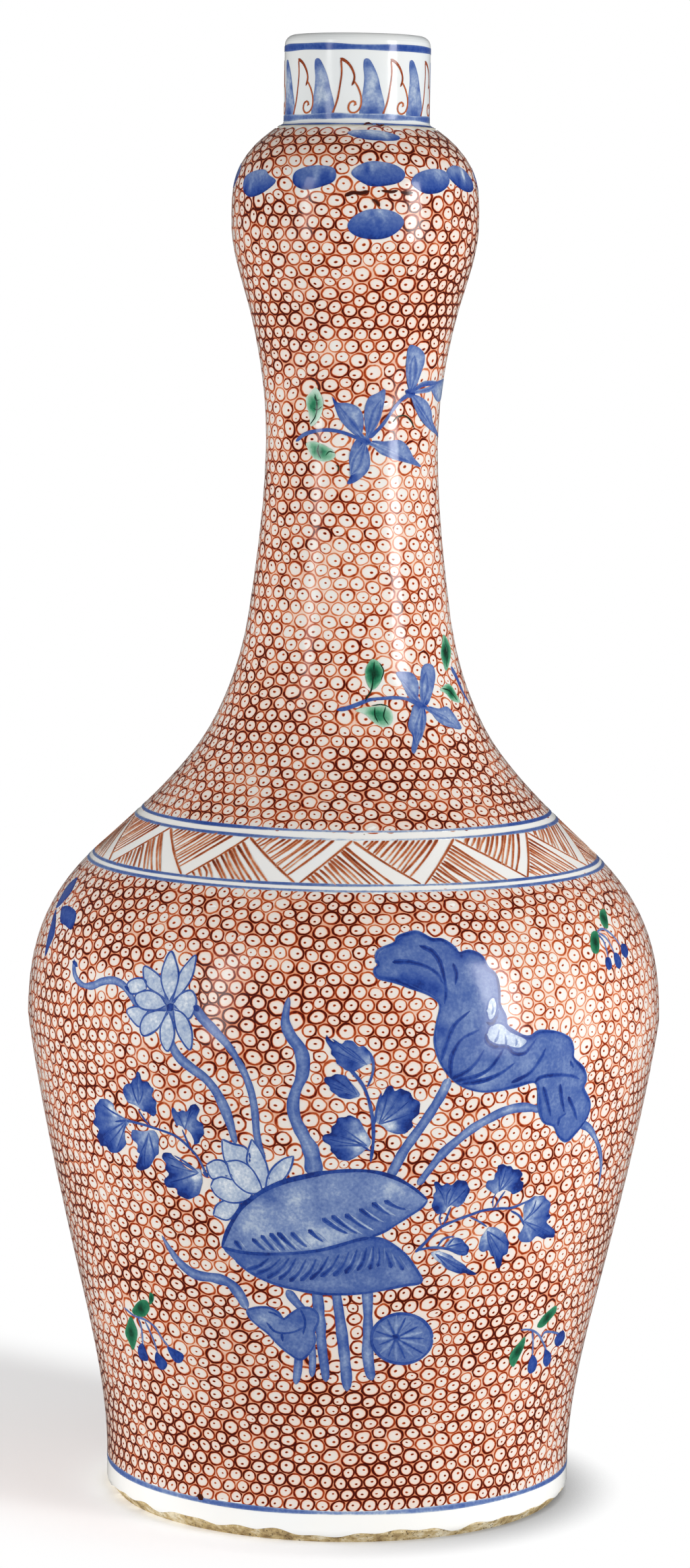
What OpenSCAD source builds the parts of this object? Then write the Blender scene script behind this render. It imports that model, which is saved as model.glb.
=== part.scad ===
// Garlic-head bottle vase: porcelain sections thrown on the wheel, trimmed level and luted with slip.
// All lengths are millimetres, +Z is up, and the origin is the centre of the foot on the table.

/* [Foot] */
// Outside diameter of the foot
foot_d = 144; // [125:0.5:155]
// Height of the foot section, table to the level where the wall is luted on
foot_h = 12; // [10:0.5:16]
// Radial width of the bevel turned on the outer edge of the foot
foot_bevel = 2.5; // [1:0.1:4]
// Height of that bevel
foot_bevel_h = 3; // [1.5:0.1:4.5]
// Width of the ring that stands on the table
foot_ring_w = 8; // [5:0.5:12]
// Depth of the recess turned under the base
recess_depth = 5; // [3:0.25:7]
// Slant of the inner side of the foot ring, from vertical, in degrees
recess_lean = 20; // [0:1:35]

/* [Body] */
// Height from the foot section to the middle of the flare
flare_h = 63; // [45:1:80]
// Diameter at the middle of the flare
flare_d = 166; // [150:0.5:180]
// Height from the middle of the flare to the seam round the belly
belly_h = 74.5; // [60:0.5:90]
// Diameter at the belly seam, the widest place
belly_d = 195.6; // [185:0.2:215]
// Height from the belly seam to the steepest place on the shoulder
shoulder_h = 51; // [42:1:65]
// Diameter at the steepest place on the shoulder
shoulder_d = 153.5; // [135:0.5:165]

/* [Neck] */
// Height from the steepest place on the shoulder to the root of the neck
root_h = 39.5; // [30:0.5:50]
// Diameter at the root of the neck
root_d = 83.2; // [75:0.2:95]
// Height from the root to the lower neck
lower_neck_h = 35; // [25:1:45]
// Diameter of the lower neck
lower_neck_d = 61.4; // [58:0.2:68]
// Height from the lower neck to its narrowest place
upper_neck_h = 52; // [40:1:65]
// Diameter at the narrowest place
neck_d = 52.4; // [50:0.2:57]

/* [Garlic bulb] */
// Height from the narrowest place to the middle of the swell
swell_h = 38; // [30:1:50]
// Diameter at the middle of the swell
swell_d = 62.4; // [59:0.2:68]
// Height from the middle of the swell to the widest place of the bulb
bulb_h = 28.5; // [22:0.5:36]
// Diameter of the bulb at its widest place
bulb_d = 75.2; // [71:0.2:84]
// Height from the widest place of the bulb to the mouth collar
crown_h = 28.5; // [24:0.5:34]

/* [Mouth] */
// Outside diameter of the mouth collar
collar_d = 44.4; // [42:0.2:48]
// Height of the mouth collar
collar_h = 28; // [22:0.5:34]
// Diameter of the bore through the mouth
bore_d = 35; // [32:0.2:36]
// Radius where the collar runs out into the bulb
collar_fillet = 2; // [1:0.1:3]
// Radius of the lip's outer edge
lip_outer_round = 3; // [1.5:0.1:3.2]
// Radius of the lip's inner edge
lip_inner_round = 1.4; // [0.4:0.1:1.6]

/* [Outline leans, in degrees from vertical] */
// Outward lean of the wall at the foot
foot_lean = 1.5; // [0:0.5:8]
// Outward lean at the middle of the flare
flare_lean = 13; // [9:0.5:16]
// Outward lean just below the belly seam
belly_lean = 8; // [4:0.5:12]
// Inward lean just above the belly seam
shoulder_start_lean = 0.5; // [0:0.1:4]
// Inward lean at the steepest place on the shoulder
shoulder_lean = 47.5; // [40:0.5:52]
// Inward lean at the root of the neck
root_lean = 27.5; // [22:0.5:32]
// Inward lean of the lower neck
lower_neck_lean = 8; // [5:0.5:13]
// Outward lean at the middle of the swell
swell_lean = 14; // [8:0.5:18]
// Inward lean where the bulb meets the collar
crown_lean = 56; // [48:0.5:60]

/* [Walls and luting] */
// Wall thickness at the foot, square to the surface
foot_wall = 7.5; // [6:0.1:9]
// Wall thickness at the belly
belly_wall = 6; // [4.5:0.1:7.5]
// Wall thickness at the neck
neck_wall = 5; // [4:0.1:6]
// Wall thickness at the bulb's crown
crown_wall = 4.6; // [3.6:0.1:5.6]
// Thickness of the slip in each luted joint
slip_t = 0.8; // [0.4:0.1:1.6]
// Radius of the bead of slip squeezed out on the inside
bead_r = 1.6; // [0.8:0.1:2.4]
// Height of the neck joint above the steepest place on the shoulder
neck_joint_rise = 32; // [20:1:38]

/* [Hidden] */
$fn = 96;

// Longest step between two points of a curved outline
outline_step = 2.5;
// Angle step of a small rounding, in degrees
round_step = 15;

// Levels of the luted joints and of the outline's stations
flare_z = foot_h + flare_h;
belly_z = flare_z + belly_h;
shoulder_z = belly_z + shoulder_h;
neck_joint_z = shoulder_z + neck_joint_rise;
root_z = shoulder_z + root_h;
lower_neck_z = root_z + lower_neck_h;
waist_z = lower_neck_z + upper_neck_h;
swell_z = waist_z + swell_h;
bulb_z = swell_z + bulb_h;
collar_z = bulb_z + crown_h;
lip_z = collar_z + collar_h;
bore_r = bore_d / 2;
collar_r = collar_d / 2;
// Where the collar's root rounding meets the bulb
collar_root_r = collar_r + collar_fillet;

// Outline stations: height, radius, lean below the station and lean above it (growth of radius per height)
outline = [
  [foot_h, foot_d / 2, tan(foot_lean), tan(foot_lean)],
  [flare_z, flare_d / 2, tan(flare_lean), tan(flare_lean)],
  [belly_z, belly_d / 2, tan(belly_lean), -tan(shoulder_start_lean)],
  [shoulder_z, shoulder_d / 2, -tan(shoulder_lean), -tan(shoulder_lean)],
  [root_z, root_d / 2, -tan(root_lean), -tan(root_lean)],
  [lower_neck_z, lower_neck_d / 2, -tan(lower_neck_lean), -tan(lower_neck_lean)],
  [waist_z, neck_d / 2, 0, 0],
  [swell_z, swell_d / 2, tan(swell_lean), tan(swell_lean)],
  [bulb_z, bulb_d / 2, 0, 0],
  [collar_z, collar_root_r, -tan(crown_lean), -tan(crown_lean)],
];

// Wall stations: height and wall thickness square to the surface
walls = [[foot_h, foot_wall], [belly_z, belly_wall], [waist_z, neck_wall], [collar_z, crown_wall]];

// Index of the outline span that holds height z
function span(z, i = 0) = i >= len(outline) - 2 || z <= outline[i + 1][0] ? i : span(z, i + 1);

// Radius of the outside at height z: a cubic through two stations with the lean that each one asks for
function outer_r(z) =
  let (
    i = span(z),
    low = outline[i],
    high = outline[i + 1],
    rise = high[0] - low[0],
    t = (z - low[0]) / rise
  )
  low[1] * (2 * t ^ 3 - 3 * t ^ 2 + 1) + high[1] * (3 * t ^ 2 - 2 * t ^ 3)
    + rise * (low[3] * (t ^ 3 - 2 * t ^ 2 + t) + high[2] * (t ^ 3 - t ^ 2));

// Growth of that radius per height at z
function outer_lean(z) =
  let (
    i = span(z),
    low = outline[i],
    high = outline[i + 1],
    rise = high[0] - low[0],
    t = (z - low[0]) / rise
  )
  (high[1] - low[1]) * (6 * t - 6 * t ^ 2) / rise
    + low[3] * (3 * t ^ 2 - 4 * t + 1) + high[2] * (3 * t ^ 2 - 2 * t);

// Wall thickness at height z, and the radius of the inside, which is nowhere narrower than the mouth's bore
function wall_at(z) = lookup(z, walls);
function inner_r(z) = max(bore_r, outer_r(z) - wall_at(z) * sqrt(1 + outer_lean(z) ^ 2));

// Heights from low to high in even steps no longer than outline_step
function levels(low, high) =
  let (n = max(1, ceil((high - low) / outline_step)))
  [for (i = [0:n]) low + (high - low) * i / n];

// Points of a rounding about a centre, from one angle to another
function rounding(centre, radius, from, to) =
  let (n = max(1, ceil(abs(to - from) / round_step)))
  [for (i = [0:n]) centre + radius * [cos(from + (to - from) * i / n), sin(from + (to - from) * i / n)]];

// Half section of the wall between two levels
module wall_section(low, high) {
  rising = levels(low, high);
  falling = levels(-high, -low);
  polygon([
    for (z = rising) [outer_r(z), z],
    for (z = falling) [inner_r(-z), -z],
  ]);
}

// One thrown section of the wall, trimmed level between two joints
module thrown_section(low_joint, high_joint) {
  rotate_extrude() wall_section(low_joint + slip_t / 2, high_joint - slip_t / 2);
}

// Slip in one joint: the layer across the wall and the bead that squeezed out inside, between two sections
module luting_slip(low_joint, joint, high_joint, bead) {
  rotate_extrude() {
    wall_section(joint - slip_t / 2, joint + slip_t / 2);
    if (bead > 0) difference() {
      translate([inner_r(joint), joint]) circle(r = bead, $fn = 24);
      wall_section(low_joint + slip_t / 2, joint - slip_t / 2);
      wall_section(joint + slip_t / 2, high_joint - slip_t / 2);
    }
  }
}

// Base with its turned foot: outer bevel, standing ring and recess
module foot_base() {
  standing_r = foot_d / 2 - foot_bevel;
  ring_r = standing_r - foot_ring_w;
  recess_r = ring_r - recess_depth * tan(recess_lean);
  color("wheat") rotate_extrude() polygon([
    [0, recess_depth],
    [recess_r, recess_depth],
    [ring_r, 0],
    [standing_r, 0],
    [foot_d / 2, foot_bevel_h],
    [foot_d / 2, foot_h - slip_t / 2],
    [0, foot_h - slip_t / 2],
  ]);
}

// Slip between the foot and the wall, run into the corner inside
module foot_slip() {
  low = foot_h - slip_t / 2;
  high = foot_h + slip_t / 2;
  corner_r = inner_r(high);
  color("ivory") rotate_extrude() polygon([
    [corner_r - bead_r, low],
    [foot_d / 2, low],
    [outer_r(high), high],
    [corner_r, high],
    [inner_r(high + bead_r), high + bead_r],
  ]);
}

module lower_body() {
  color("rosybrown") thrown_section(foot_h, belly_z);
}

module belly_slip() {
  color("ivory") luting_slip(foot_h, belly_z, neck_joint_z, bead_r);
}

module upper_body() {
  color("rosybrown") thrown_section(belly_z, neck_joint_z);
}

module shoulder_slip() {
  color("ivory") luting_slip(belly_z, neck_joint_z, waist_z, bead_r);
}

module neck() {
  color("rosybrown") thrown_section(neck_joint_z, waist_z);
}

module neck_slip() {
  color("ivory") luting_slip(neck_joint_z, waist_z, collar_z, bead_r);
}

module garlic_bulb() {
  color("rosybrown") thrown_section(waist_z, collar_z);
}

module collar_slip() {
  color("ivory") luting_slip(waist_z, collar_z, lip_z, 0);
}

// Straight collar with a rounded lip, run out into the bulb at its root
module mouth_collar() {
  low = collar_z + slip_t / 2;
  fillet_centre = [collar_root_r, low + collar_fillet];
  outer_centre = [collar_r - lip_outer_round, lip_z - lip_outer_round];
  inner_centre = [bore_r + lip_inner_round, lip_z - lip_inner_round];
  color("aliceblue") rotate_extrude() polygon(concat(
    [[bore_r, low]],
    rounding(fillet_centre, collar_fillet, 270, 180),
    rounding(outer_centre, lip_outer_round, 0, 90),
    rounding(inner_centre, lip_inner_round, 90, 180)
  ));
}

foot_base();
foot_slip();
lower_body();
belly_slip();
upper_body();
shoulder_slip();
neck();
neck_slip();
garlic_bulb();
collar_slip();
mouth_collar();
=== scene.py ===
# %% [markdown]
# # A garlic-head vase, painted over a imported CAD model
# The CAD model gives the thrown porcelain sections and the slip that lutes them together.
# This lesson adds what the kiln and the painter added: glaze, underglaze blue, iron-red and green enamel.
# Everything is in metres, in the CAD model's own frame, with the foot's centre at the origin.

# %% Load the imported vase
import math

import bpy
import numpy as np
from mathutils import Matrix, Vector
from mathutils.bvhtree import BVHTree
from mathutils.geometry import delaunay_2d_cdt
from mathutils.kdtree import KDTree


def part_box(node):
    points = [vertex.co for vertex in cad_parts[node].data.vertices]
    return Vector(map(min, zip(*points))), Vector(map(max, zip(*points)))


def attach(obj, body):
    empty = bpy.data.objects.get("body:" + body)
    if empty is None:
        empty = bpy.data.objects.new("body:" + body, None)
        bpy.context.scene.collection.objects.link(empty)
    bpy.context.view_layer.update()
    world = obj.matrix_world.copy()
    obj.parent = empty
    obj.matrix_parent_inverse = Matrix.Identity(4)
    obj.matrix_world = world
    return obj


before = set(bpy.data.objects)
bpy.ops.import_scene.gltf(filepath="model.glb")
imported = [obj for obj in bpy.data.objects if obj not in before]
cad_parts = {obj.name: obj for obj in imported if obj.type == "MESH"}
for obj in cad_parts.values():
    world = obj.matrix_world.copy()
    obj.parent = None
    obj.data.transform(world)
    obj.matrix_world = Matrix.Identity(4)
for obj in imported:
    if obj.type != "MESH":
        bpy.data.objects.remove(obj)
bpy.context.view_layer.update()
MM = 0.001
FULL_TURN = 2 * math.pi
print("sections:", sorted(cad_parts))

# %% [markdown]
# ## The outline
# Every painted line has to lie on the thrown wall, so the lesson starts by reading that wall.
# It could be typed in again, but then the two could drift apart.
# Each CAD section is a stack of level circles, so the widest circle at each level is the outline.
# Where a level has only a circle of the inner wall, it is left out.
# A smooth curve through those circles gives the radius, the lean and the distance run along the wall.

# %% Read the outline from the sections
THROWN = ["foot_base", "lower_body", "upper_body", "neck", "garlic_bulb", "mouth_collar"]
OUTLINE_STEP = 0.25 * MM
SAME_LEVEL = 0.05 * MM
THINNEST_WALL = 3 * MM
LEAN_WINDOW = 9


def points_of(mesh):
    """The places of a mesh's points."""
    places = np.empty(len(mesh.vertices) * 3)
    mesh.vertices.foreach_get("co", places)
    return places.reshape(-1, 3)


def circles_of(node):
    """Heights and outer radii of the level circles of one section."""
    points = points_of(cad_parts[node].data)
    points = points[np.argsort(points[:, 2])]
    reach = np.hypot(points[:, 0], points[:, 1])
    starts = np.flatnonzero(np.diff(points[:, 2], prepend=-1) > SAME_LEVEL)
    heights, radii = points[starts, 2], np.maximum.reduceat(reach, starts)
    outer = np.ones(len(starts), bool)
    outer[1:-1] = radii[1:-1] > np.minimum(radii[:-2], radii[2:]) - THINNEST_WALL
    return heights[outer], radii[outer]


def smooth_between(heights, radii):
    """A finer outline: cubics through the circles, which never swing past a circle."""
    slope = np.diff(radii) / np.diff(heights)
    before, after = np.append(slope[0], slope), np.append(slope, slope[-1])
    same_way = before * after > 0
    lean = np.where(same_way, 2 * before * after / np.where(same_way, before + after, 1), 0)
    fine = np.linspace(heights[0], heights[-1], max(2, int((heights[-1] - heights[0]) / OUTLINE_STEP)))
    low = np.clip(np.searchsorted(heights, fine, "right") - 1, 0, len(heights) - 2)
    rise = heights[low + 1] - heights[low]
    t = (fine - heights[low]) / rise
    curve = radii[low] * (2 * t**3 - 3 * t**2 + 1) + radii[low + 1] * (3 * t**2 - 2 * t**3)
    curve += rise * (lean[low] * (t**3 - 2 * t**2 + t) + lean[low + 1] * (t**3 - t**2))
    return fine, curve


parts = [smooth_between(*circles_of(node)) for node in THROWN]
wall_z = np.concatenate([part[0] for part in parts])
wall_r = np.concatenate([part[1] for part in parts])
lean_steps = np.pad(np.gradient(wall_r, wall_z), LEAN_WINDOW // 2, "edge")
wall_lean = np.convolve(lean_steps, np.full(LEAN_WINDOW, 1 / LEAN_WINDOW), "valid")
wall_run = np.concatenate([[0], np.cumsum(np.hypot(np.diff(wall_r), np.diff(wall_z)))])
wall_turn = np.concatenate([[0], np.cumsum(np.diff(wall_run) / ((wall_r[1:] + wall_r[:-1]) / 2))])
print("outline from", round(wall_z[0], 4), "to", round(wall_z[-1], 4), "widest", round(wall_r.max(), 4))

# %% Places on the wall


def radius_at(z):
    return np.interp(z, wall_z, wall_r)


def lean_at(z):
    return np.interp(z, wall_z, wall_lean)


def run_at(z):
    """Distance along the wall from its foot to height z."""
    return np.interp(z, wall_z, wall_run)


def height_at(run):
    return np.interp(run, wall_run, wall_z)


def turn_at(z):
    """Height z on the unrolled wall, which counts the run in radii."""
    return np.interp(z, wall_z, wall_turn)


def outward_at(angle, z):
    """Unit vectors that point straight out of the wall."""
    lean = lean_at(z)
    flat = 1 / np.hypot(1, lean)
    return np.stack([np.cos(angle) * flat, np.sin(angle) * flat, -lean * flat], axis=-1)


def on_wall(angle, z, lift=0.0):
    """Points on the wall, raised by lift square to it."""
    reach = radius_at(z)
    foot = np.stack([np.cos(angle) * reach, np.sin(angle) * reach, z + 0 * reach], axis=-1)
    return foot + outward_at(angle, z) * np.expand_dims(lift + 0 * reach, -1)


print("wall:", round(wall_run[-1], 4), "m from foot to lip along the outline")

# %% [markdown]
# ## The camera
# The camera stands where the photographer's stood: a long lens a little under a metre and a half away,
# not far below the height of the mouth and looking a little down.
# The painting is placed with the same camera. A ray through a point of the picture meets the wall at an
# angle and a height, and from then on a motif belongs to the wall and not to the picture.

# %% Set up the camera
PICTURE_WIDTH, PICTURE_HEIGHT = 1024, 2327
LENS, SENSOR = 105.0, 36.0
CAMERA_AWAY = 1.408
CAMERA_HEIGHT = 0.374
CAMERA_DIP = math.radians(6.2)
CAMERA_TILT = math.radians(0.84)
CAMERA_SIDE = -0.6 * MM
CLIP_START = 0.05
RAY_STEPS = np.linspace(CAMERA_AWAY - 0.14, CAMERA_AWAY + 0.02, 321)
BELLY_FRONT = (512, 1500)


def link(name, data):
    """An object for a mesh, a lamp or a camera, linked to the scene."""
    made = bpy.data.objects.new(name, data)
    bpy.context.scene.collection.objects.link(made)
    return made


def standing(right, up, back, place):
    """The matrix that turns an object's axes to three directions and sets it at a place."""
    return Matrix(np.stack([right, up, back, place], 1).tolist() + [[0, 0, 0, 1]])


looking = np.array([0, math.cos(CAMERA_DIP), -math.sin(CAMERA_DIP)])
level_right = np.array([1.0, 0, 0])
level_up = np.cross(level_right, looking)
picture_right = math.cos(CAMERA_TILT) * level_right + math.sin(CAMERA_TILT) * level_up
picture_up = np.cross(picture_right, looking)
camera_place = np.array([CAMERA_SIDE, -CAMERA_AWAY, CAMERA_HEIGHT])

camera_data = bpy.data.cameras.new("photo_camera")
camera_data.lens = LENS
camera_data.sensor_width = SENSOR
camera_data.sensor_fit = "AUTO"
camera_data.clip_start = CLIP_START
camera = link("photo_camera", camera_data)
camera.matrix_world = standing(picture_right, picture_up, -looking, camera_place)
bpy.context.scene.camera = camera


def wall_under(points):
    """Angles and heights of the wall under points of the picture, given in its pixels from the top left."""
    points = np.asarray(points, float)
    focal = LENS / SENSOR * PICTURE_HEIGHT
    across = (points[:, 0] - PICTURE_WIDTH / 2) / focal
    upward = (PICTURE_HEIGHT / 2 - points[:, 1]) / focal
    ray = looking + across[:, None] * picture_right + upward[:, None] * picture_up
    track = camera_place + ray[:, None, :] * RAY_STEPS[:, None]
    gap = np.hypot(track[..., 0], track[..., 1]) - radius_at(track[..., 2])
    inside = gap < 0
    hit = np.where(inside.any(1), inside.argmax(1), gap.argmin(1))
    rows = np.arange(len(points))
    before = np.maximum(hit - 1, 0)
    share = np.clip(gap[rows, before] / np.maximum(gap[rows, before] - gap[rows, hit], 1e-9), 0, 1)
    met = track[rows, before] + (track[rows, hit] - track[rows, before]) * share[:, None]
    return np.arctan2(met[:, 1], met[:, 0]), met[:, 2]


print("camera", camera_place, "front of the belly:", wall_under([BELLY_FRONT]))

# %% [markdown]
# ## Helpers for node trees
# Materials, the surround and Geometry Nodes are all trees of nodes, so the same few helpers build them.
# `put` adds a node and fills its inputs: a plain value is set, a socket is linked.

# %% Node helpers


def put(tree, kind, given=None, **settings):
    """Adds a node, sets its options, and sets or links its inputs."""
    made = tree.nodes.new(kind)
    for option, value in settings.items():
        setattr(made, option, value)
    for place, value in (given or {}).items():
        if isinstance(value, bpy.types.NodeSocket):
            tree.links.new(value, made.inputs[place])
        else:
            made.inputs[place].default_value = value
    return made


def calc(tree, operation, *terms, clamp=False):
    """One Math node."""
    given = dict(enumerate(terms))
    return put(tree, "ShaderNodeMath", given, operation=operation, use_clamp=clamp).outputs[0]


def vector_calc(tree, operation, *terms, out=0):
    """One Vector Math node."""
    return put(tree, "ShaderNodeVectorMath", dict(enumerate(terms)), operation=operation).outputs[out]


def scaled(tree, vector, amount):
    return put(tree, "ShaderNodeVectorMath", {0: vector, "Scale": amount}, operation="SCALE").outputs[0]


def ease(tree, value, low, high, to_low=0.0, to_high=1.0):
    """A soft step: to_low below low, to_high above high, smooth between."""
    given = {"Value": value, "From Min": low, "From Max": high, "To Min": to_low, "To Max": to_high}
    return put(tree, "ShaderNodeMapRange", given, interpolation_type="SMOOTHSTEP").outputs[0]


def mix_colour(tree, amount, first, second):
    return put(tree, "ShaderNodeMix", {0: amount, 6: first, 7: second}, data_type="RGBA").outputs[2]


def paint(code):
    """A pigment's colour from the usual six-digit code, as linear light."""
    channels = [int(code[i : i + 2], 16) / 255 for i in (0, 2, 4)]
    return tuple(c / 12.92 if c <= 0.04045 else ((c + 0.055) / 1.055) ** 2.4 for c in channels) + (1.0,)


def ramp(tree, amount, *stops):
    """A colour ramp from (place, colour code) stops."""
    made = put(tree, "ShaderNodeValToRGB", {0: amount})
    bar = made.color_ramp.elements
    while len(bar) < len(stops):
        bar.new(0.5)
    for element, (place, code) in zip(bar, stops):
        element.position = place
        element.color = paint(code)
    return made.outputs[0]


def object_place(tree):
    return put(tree, "ShaderNodeTexCoord").outputs["Object"]


def cloud(tree, size, detail=2.0, roughness=0.5, place=None, output="Fac"):
    """Noise whose blotches are about size metres across, on Object coordinates."""
    given = {"Vector": place or object_place(tree), "Scale": 1 / size}
    given |= {"Detail": detail, "Roughness": roughness}
    return put(tree, "ShaderNodeTexNoise", given).outputs[output]


def attribute(tree, name):
    return put(tree, "ShaderNodeAttribute", attribute_name=name).outputs["Fac"]


def new_material(name):
    """A material, with its tree and its shader."""
    made = bpy.data.materials.new(name)
    made.use_nodes = True
    return made, made.node_tree, made.node_tree.nodes["Principled BSDF"]


def roughen(tree, shader, height, strength, depth):
    """Lets a pattern stand up to depth metres out of the surface."""
    bump = put(tree, "ShaderNodeBump", {"Strength": strength, "Distance": depth, "Height": height})
    tree.links.new(bump.outputs[0], shader.inputs["Normal"])


print("helpers ready")

# %% [markdown]
# ## Floor and light
# The photograph has a white ground with one soft shadow to the left.
# A floor that is matt where the shadow falls and plain white elsewhere gives that, with no line at the
# surround. The surround is white to look at and lights the vase softly. In the glaze both it and the floor
# are dark, as in a studio with dark screens, so the dark paint isn't veiled.
# Two large soft boxes, one at each side, light the vase and aren't mirrored. Two narrower windows are what
# the glaze mirrors as soft upright lights, the right one the stronger, and two low cards brighten the
# lower sides.

# %% Floor
SURROUND, MIRRORED = 0.34, 0.1
FLOOR_REACH = 0.6
FLOOR_CORNERS = [(-1, -1), (1, -1), (1, 1), (-1, 1)]
FLOOR_WHITE, FLOOR_ROUGHNESS = (0.9, 0.9, 0.9, 1), 0.9
FLOOR_GLOW, FLOOR_BOUNCE = 0.24, 0.75
CONTACT_SHADOW, CONTACT_DEPTH = 18 * MM, 1.2
SHADOW_LENGTH = 0.45
SHADOW_START = (-0.03, 0.0, 0.0)
SHADOW_WAY = (-0.8 * SHADOW_LENGTH, 0.6 * SHADOW_LENGTH, 0.0)
SHADOW_EDGE = (0.06, 0.11)
PLAIN_WHITE = (1, 1, 1, 1)


def brightness_of(tree, ray, lighting):
    """A brightness that is 1 to the eye, MIRRORED in the glaze, and lighting where it lights the vase."""
    bright = calc(tree, "MULTIPLY_ADD", ray["Is Camera Ray"], 1 - lighting, lighting)
    return calc(tree, "MULTIPLY_ADD", ray["Is Glossy Ray"], MIRRORED - lighting, bright)


def floor_material():
    made, tree, matt = new_material("pale_floor")
    matt.inputs["Base Color"].default_value = FLOOR_WHITE
    matt.inputs["Roughness"].default_value = FLOOR_ROUGHNESS
    matt.inputs["Emission Color"].default_value = PLAIN_WHITE
    matt.inputs["Emission Strength"].default_value = FLOOR_GLOW
    ray = put(tree, "ShaderNodeLightPath").outputs
    clear = put(tree, "ShaderNodeAmbientOcclusion", {"Distance": CONTACT_SHADOW}, samples=8).outputs["AO"]
    clear = calc(tree, "POWER", clear, CONTACT_DEPTH)
    bright = calc(tree, "MULTIPLY", brightness_of(tree, ray, FLOOR_BOUNCE), clear)
    glow = put(tree, "ShaderNodeEmission", {"Strength": bright})
    place = vector_calc(tree, "SUBTRACT", object_place(tree), SHADOW_START)
    along = vector_calc(tree, "DOT_PRODUCT", place, SHADOW_WAY, out=1)
    share = calc(tree, "DIVIDE", along, SHADOW_LENGTH**2, clamp=True)
    away = vector_calc(tree, "DISTANCE", place, scaled(tree, SHADOW_WAY, share), out=1)
    plain = calc(tree, "MAXIMUM", ease(tree, away, *SHADOW_EDGE), ray["Is Glossy Ray"])
    both = put(tree, "ShaderNodeMixShader", {0: plain, 1: matt.outputs[0], 2: glow.outputs[0]})
    tree.links.new(both.outputs[0], tree.nodes["Material Output"].inputs["Surface"])
    return made


floor_mesh = bpy.data.meshes.new("pale_floor")
floor_mesh.from_pydata([(x * FLOOR_REACH, y * FLOOR_REACH, 0) for x, y in FLOOR_CORNERS], [], [(0, 1, 2, 3)])
floor_mesh.materials.append(floor_material())
floor = link("pale_floor", floor_mesh)
print("floor", 2 * FLOOR_REACH, "m wide")

# %% Lights
FRONT = -math.pi / 2
LAMP_AIM = 0.22
# Each lamp's bearing in degrees, distance, height, width and length in metres, and power in watts
LAMPS = {
    "right_soft_box": (53, 1.5, 0.5, 0.85, 1.7, 10.5),
    "left_soft_box": (-66, 1.6, 0.4, 0.6, 1.7, 10),
    "right_window": (57, 1.5, 0.5, 0.35, 1.0, 10),
    "left_window": (-45, 1.6, 0.6, 0.25, 1.2, 3.5),
    "left_card": (-78, 0.5, 0.12, 0.35, 0.3, 1.0),
    "right_card": (80, 0.5, 0.12, 0.35, 0.3, 0.65),
}
MIRRORED_LAMPS = ("right_window", "left_window")


def area_lamp(name, bearing, away, height, width, tall, power):
    """A lamp at a bearing in degrees from the camera's side, turned to the vase."""
    lamp = bpy.data.lights.new(name, "AREA")
    lamp.shape = "RECTANGLE"
    lamp.size, lamp.size_y = width, tall
    lamp.energy = power
    turn = FRONT + math.radians(bearing)
    place = np.array([math.cos(turn) * away, math.sin(turn) * away, height])
    back = place - np.array([0, 0, LAMP_AIM])
    back /= np.linalg.norm(back)
    side = np.cross([0, 0, 1], back)
    side /= np.linalg.norm(side)
    holder = link(name, lamp)
    holder.matrix_world = standing(side, np.cross(back, side), back, place)
    holder.visible_glossy = name in MIRRORED_LAMPS


for name, sizes in LAMPS.items():
    area_lamp(name, *sizes)
world = bpy.data.worlds.new("even_surround")
world.use_nodes = True
backdrop = world.node_tree.nodes["Background"]
backdrop.inputs["Color"].default_value = PLAIN_WHITE
surround_ray = put(world.node_tree, "ShaderNodeLightPath").outputs
surround_light = brightness_of(world.node_tree, surround_ray, SURROUND)
world.node_tree.links.new(surround_light, backdrop.inputs["Strength"])
bpy.context.scene.world = world
bpy.context.scene.view_settings.view_transform = "Standard"

# %% [markdown]
# ## Glaze
# Old glaze isn't a perfect mirror. It lies a little uneven over the wheel's rings, it has pinholes,
# and it shows a soft, slightly broken light. All the painted finishes share that skin, so one function
# gives them the same gloss and the same fine unevenness, and only the colour underneath differs.

# %% The shared glaze
GLAZE_GLOSS, GLAZE_IOR = 0.13, 1.5
SHINIEST, DULLEST, GLOSS_PATCH = GLAZE_GLOSS - 0.05, GLAZE_GLOSS + 0.08, 16 * MM
GLAZE_WAVES, GLAZE_PEEL, PEEL_SHARE = 9 * MM, 1.3 * MM, 0.12
GLAZE_BUMP, GLAZE_DEPTH = 0.35, 0.25 * MM
NOISE_LOW, NOISE_HIGH = 0.3, 0.7
WHITE_PATCH = 30 * MM
PINHOLE_ROOM, PINHOLE_EDGE, PINHOLE_SHADE = 11 * MM, (0.02, 0.035), 0.8
PINHOLE_BROWN = "8A7A6C"


def glazed(name):
    """A glazed material. Returns it with its tree and shader; the colour is left to the caller."""
    made, tree, shader = new_material(name)
    shader.inputs["IOR"].default_value = GLAZE_IOR
    waves, peel = cloud(tree, GLAZE_WAVES, 1.0), cloud(tree, GLAZE_PEEL, 1.0)
    height = calc(tree, "MULTIPLY_ADD", peel, PEEL_SHARE, waves)
    roughen(tree, shader, height, GLAZE_BUMP, GLAZE_DEPTH)
    rough = ease(tree, cloud(tree, GLOSS_PATCH, 3.0), NOISE_LOW, NOISE_HIGH, SHINIEST, DULLEST)
    tree.links.new(rough, shader.inputs["Roughness"])
    return made, tree, shader


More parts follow.
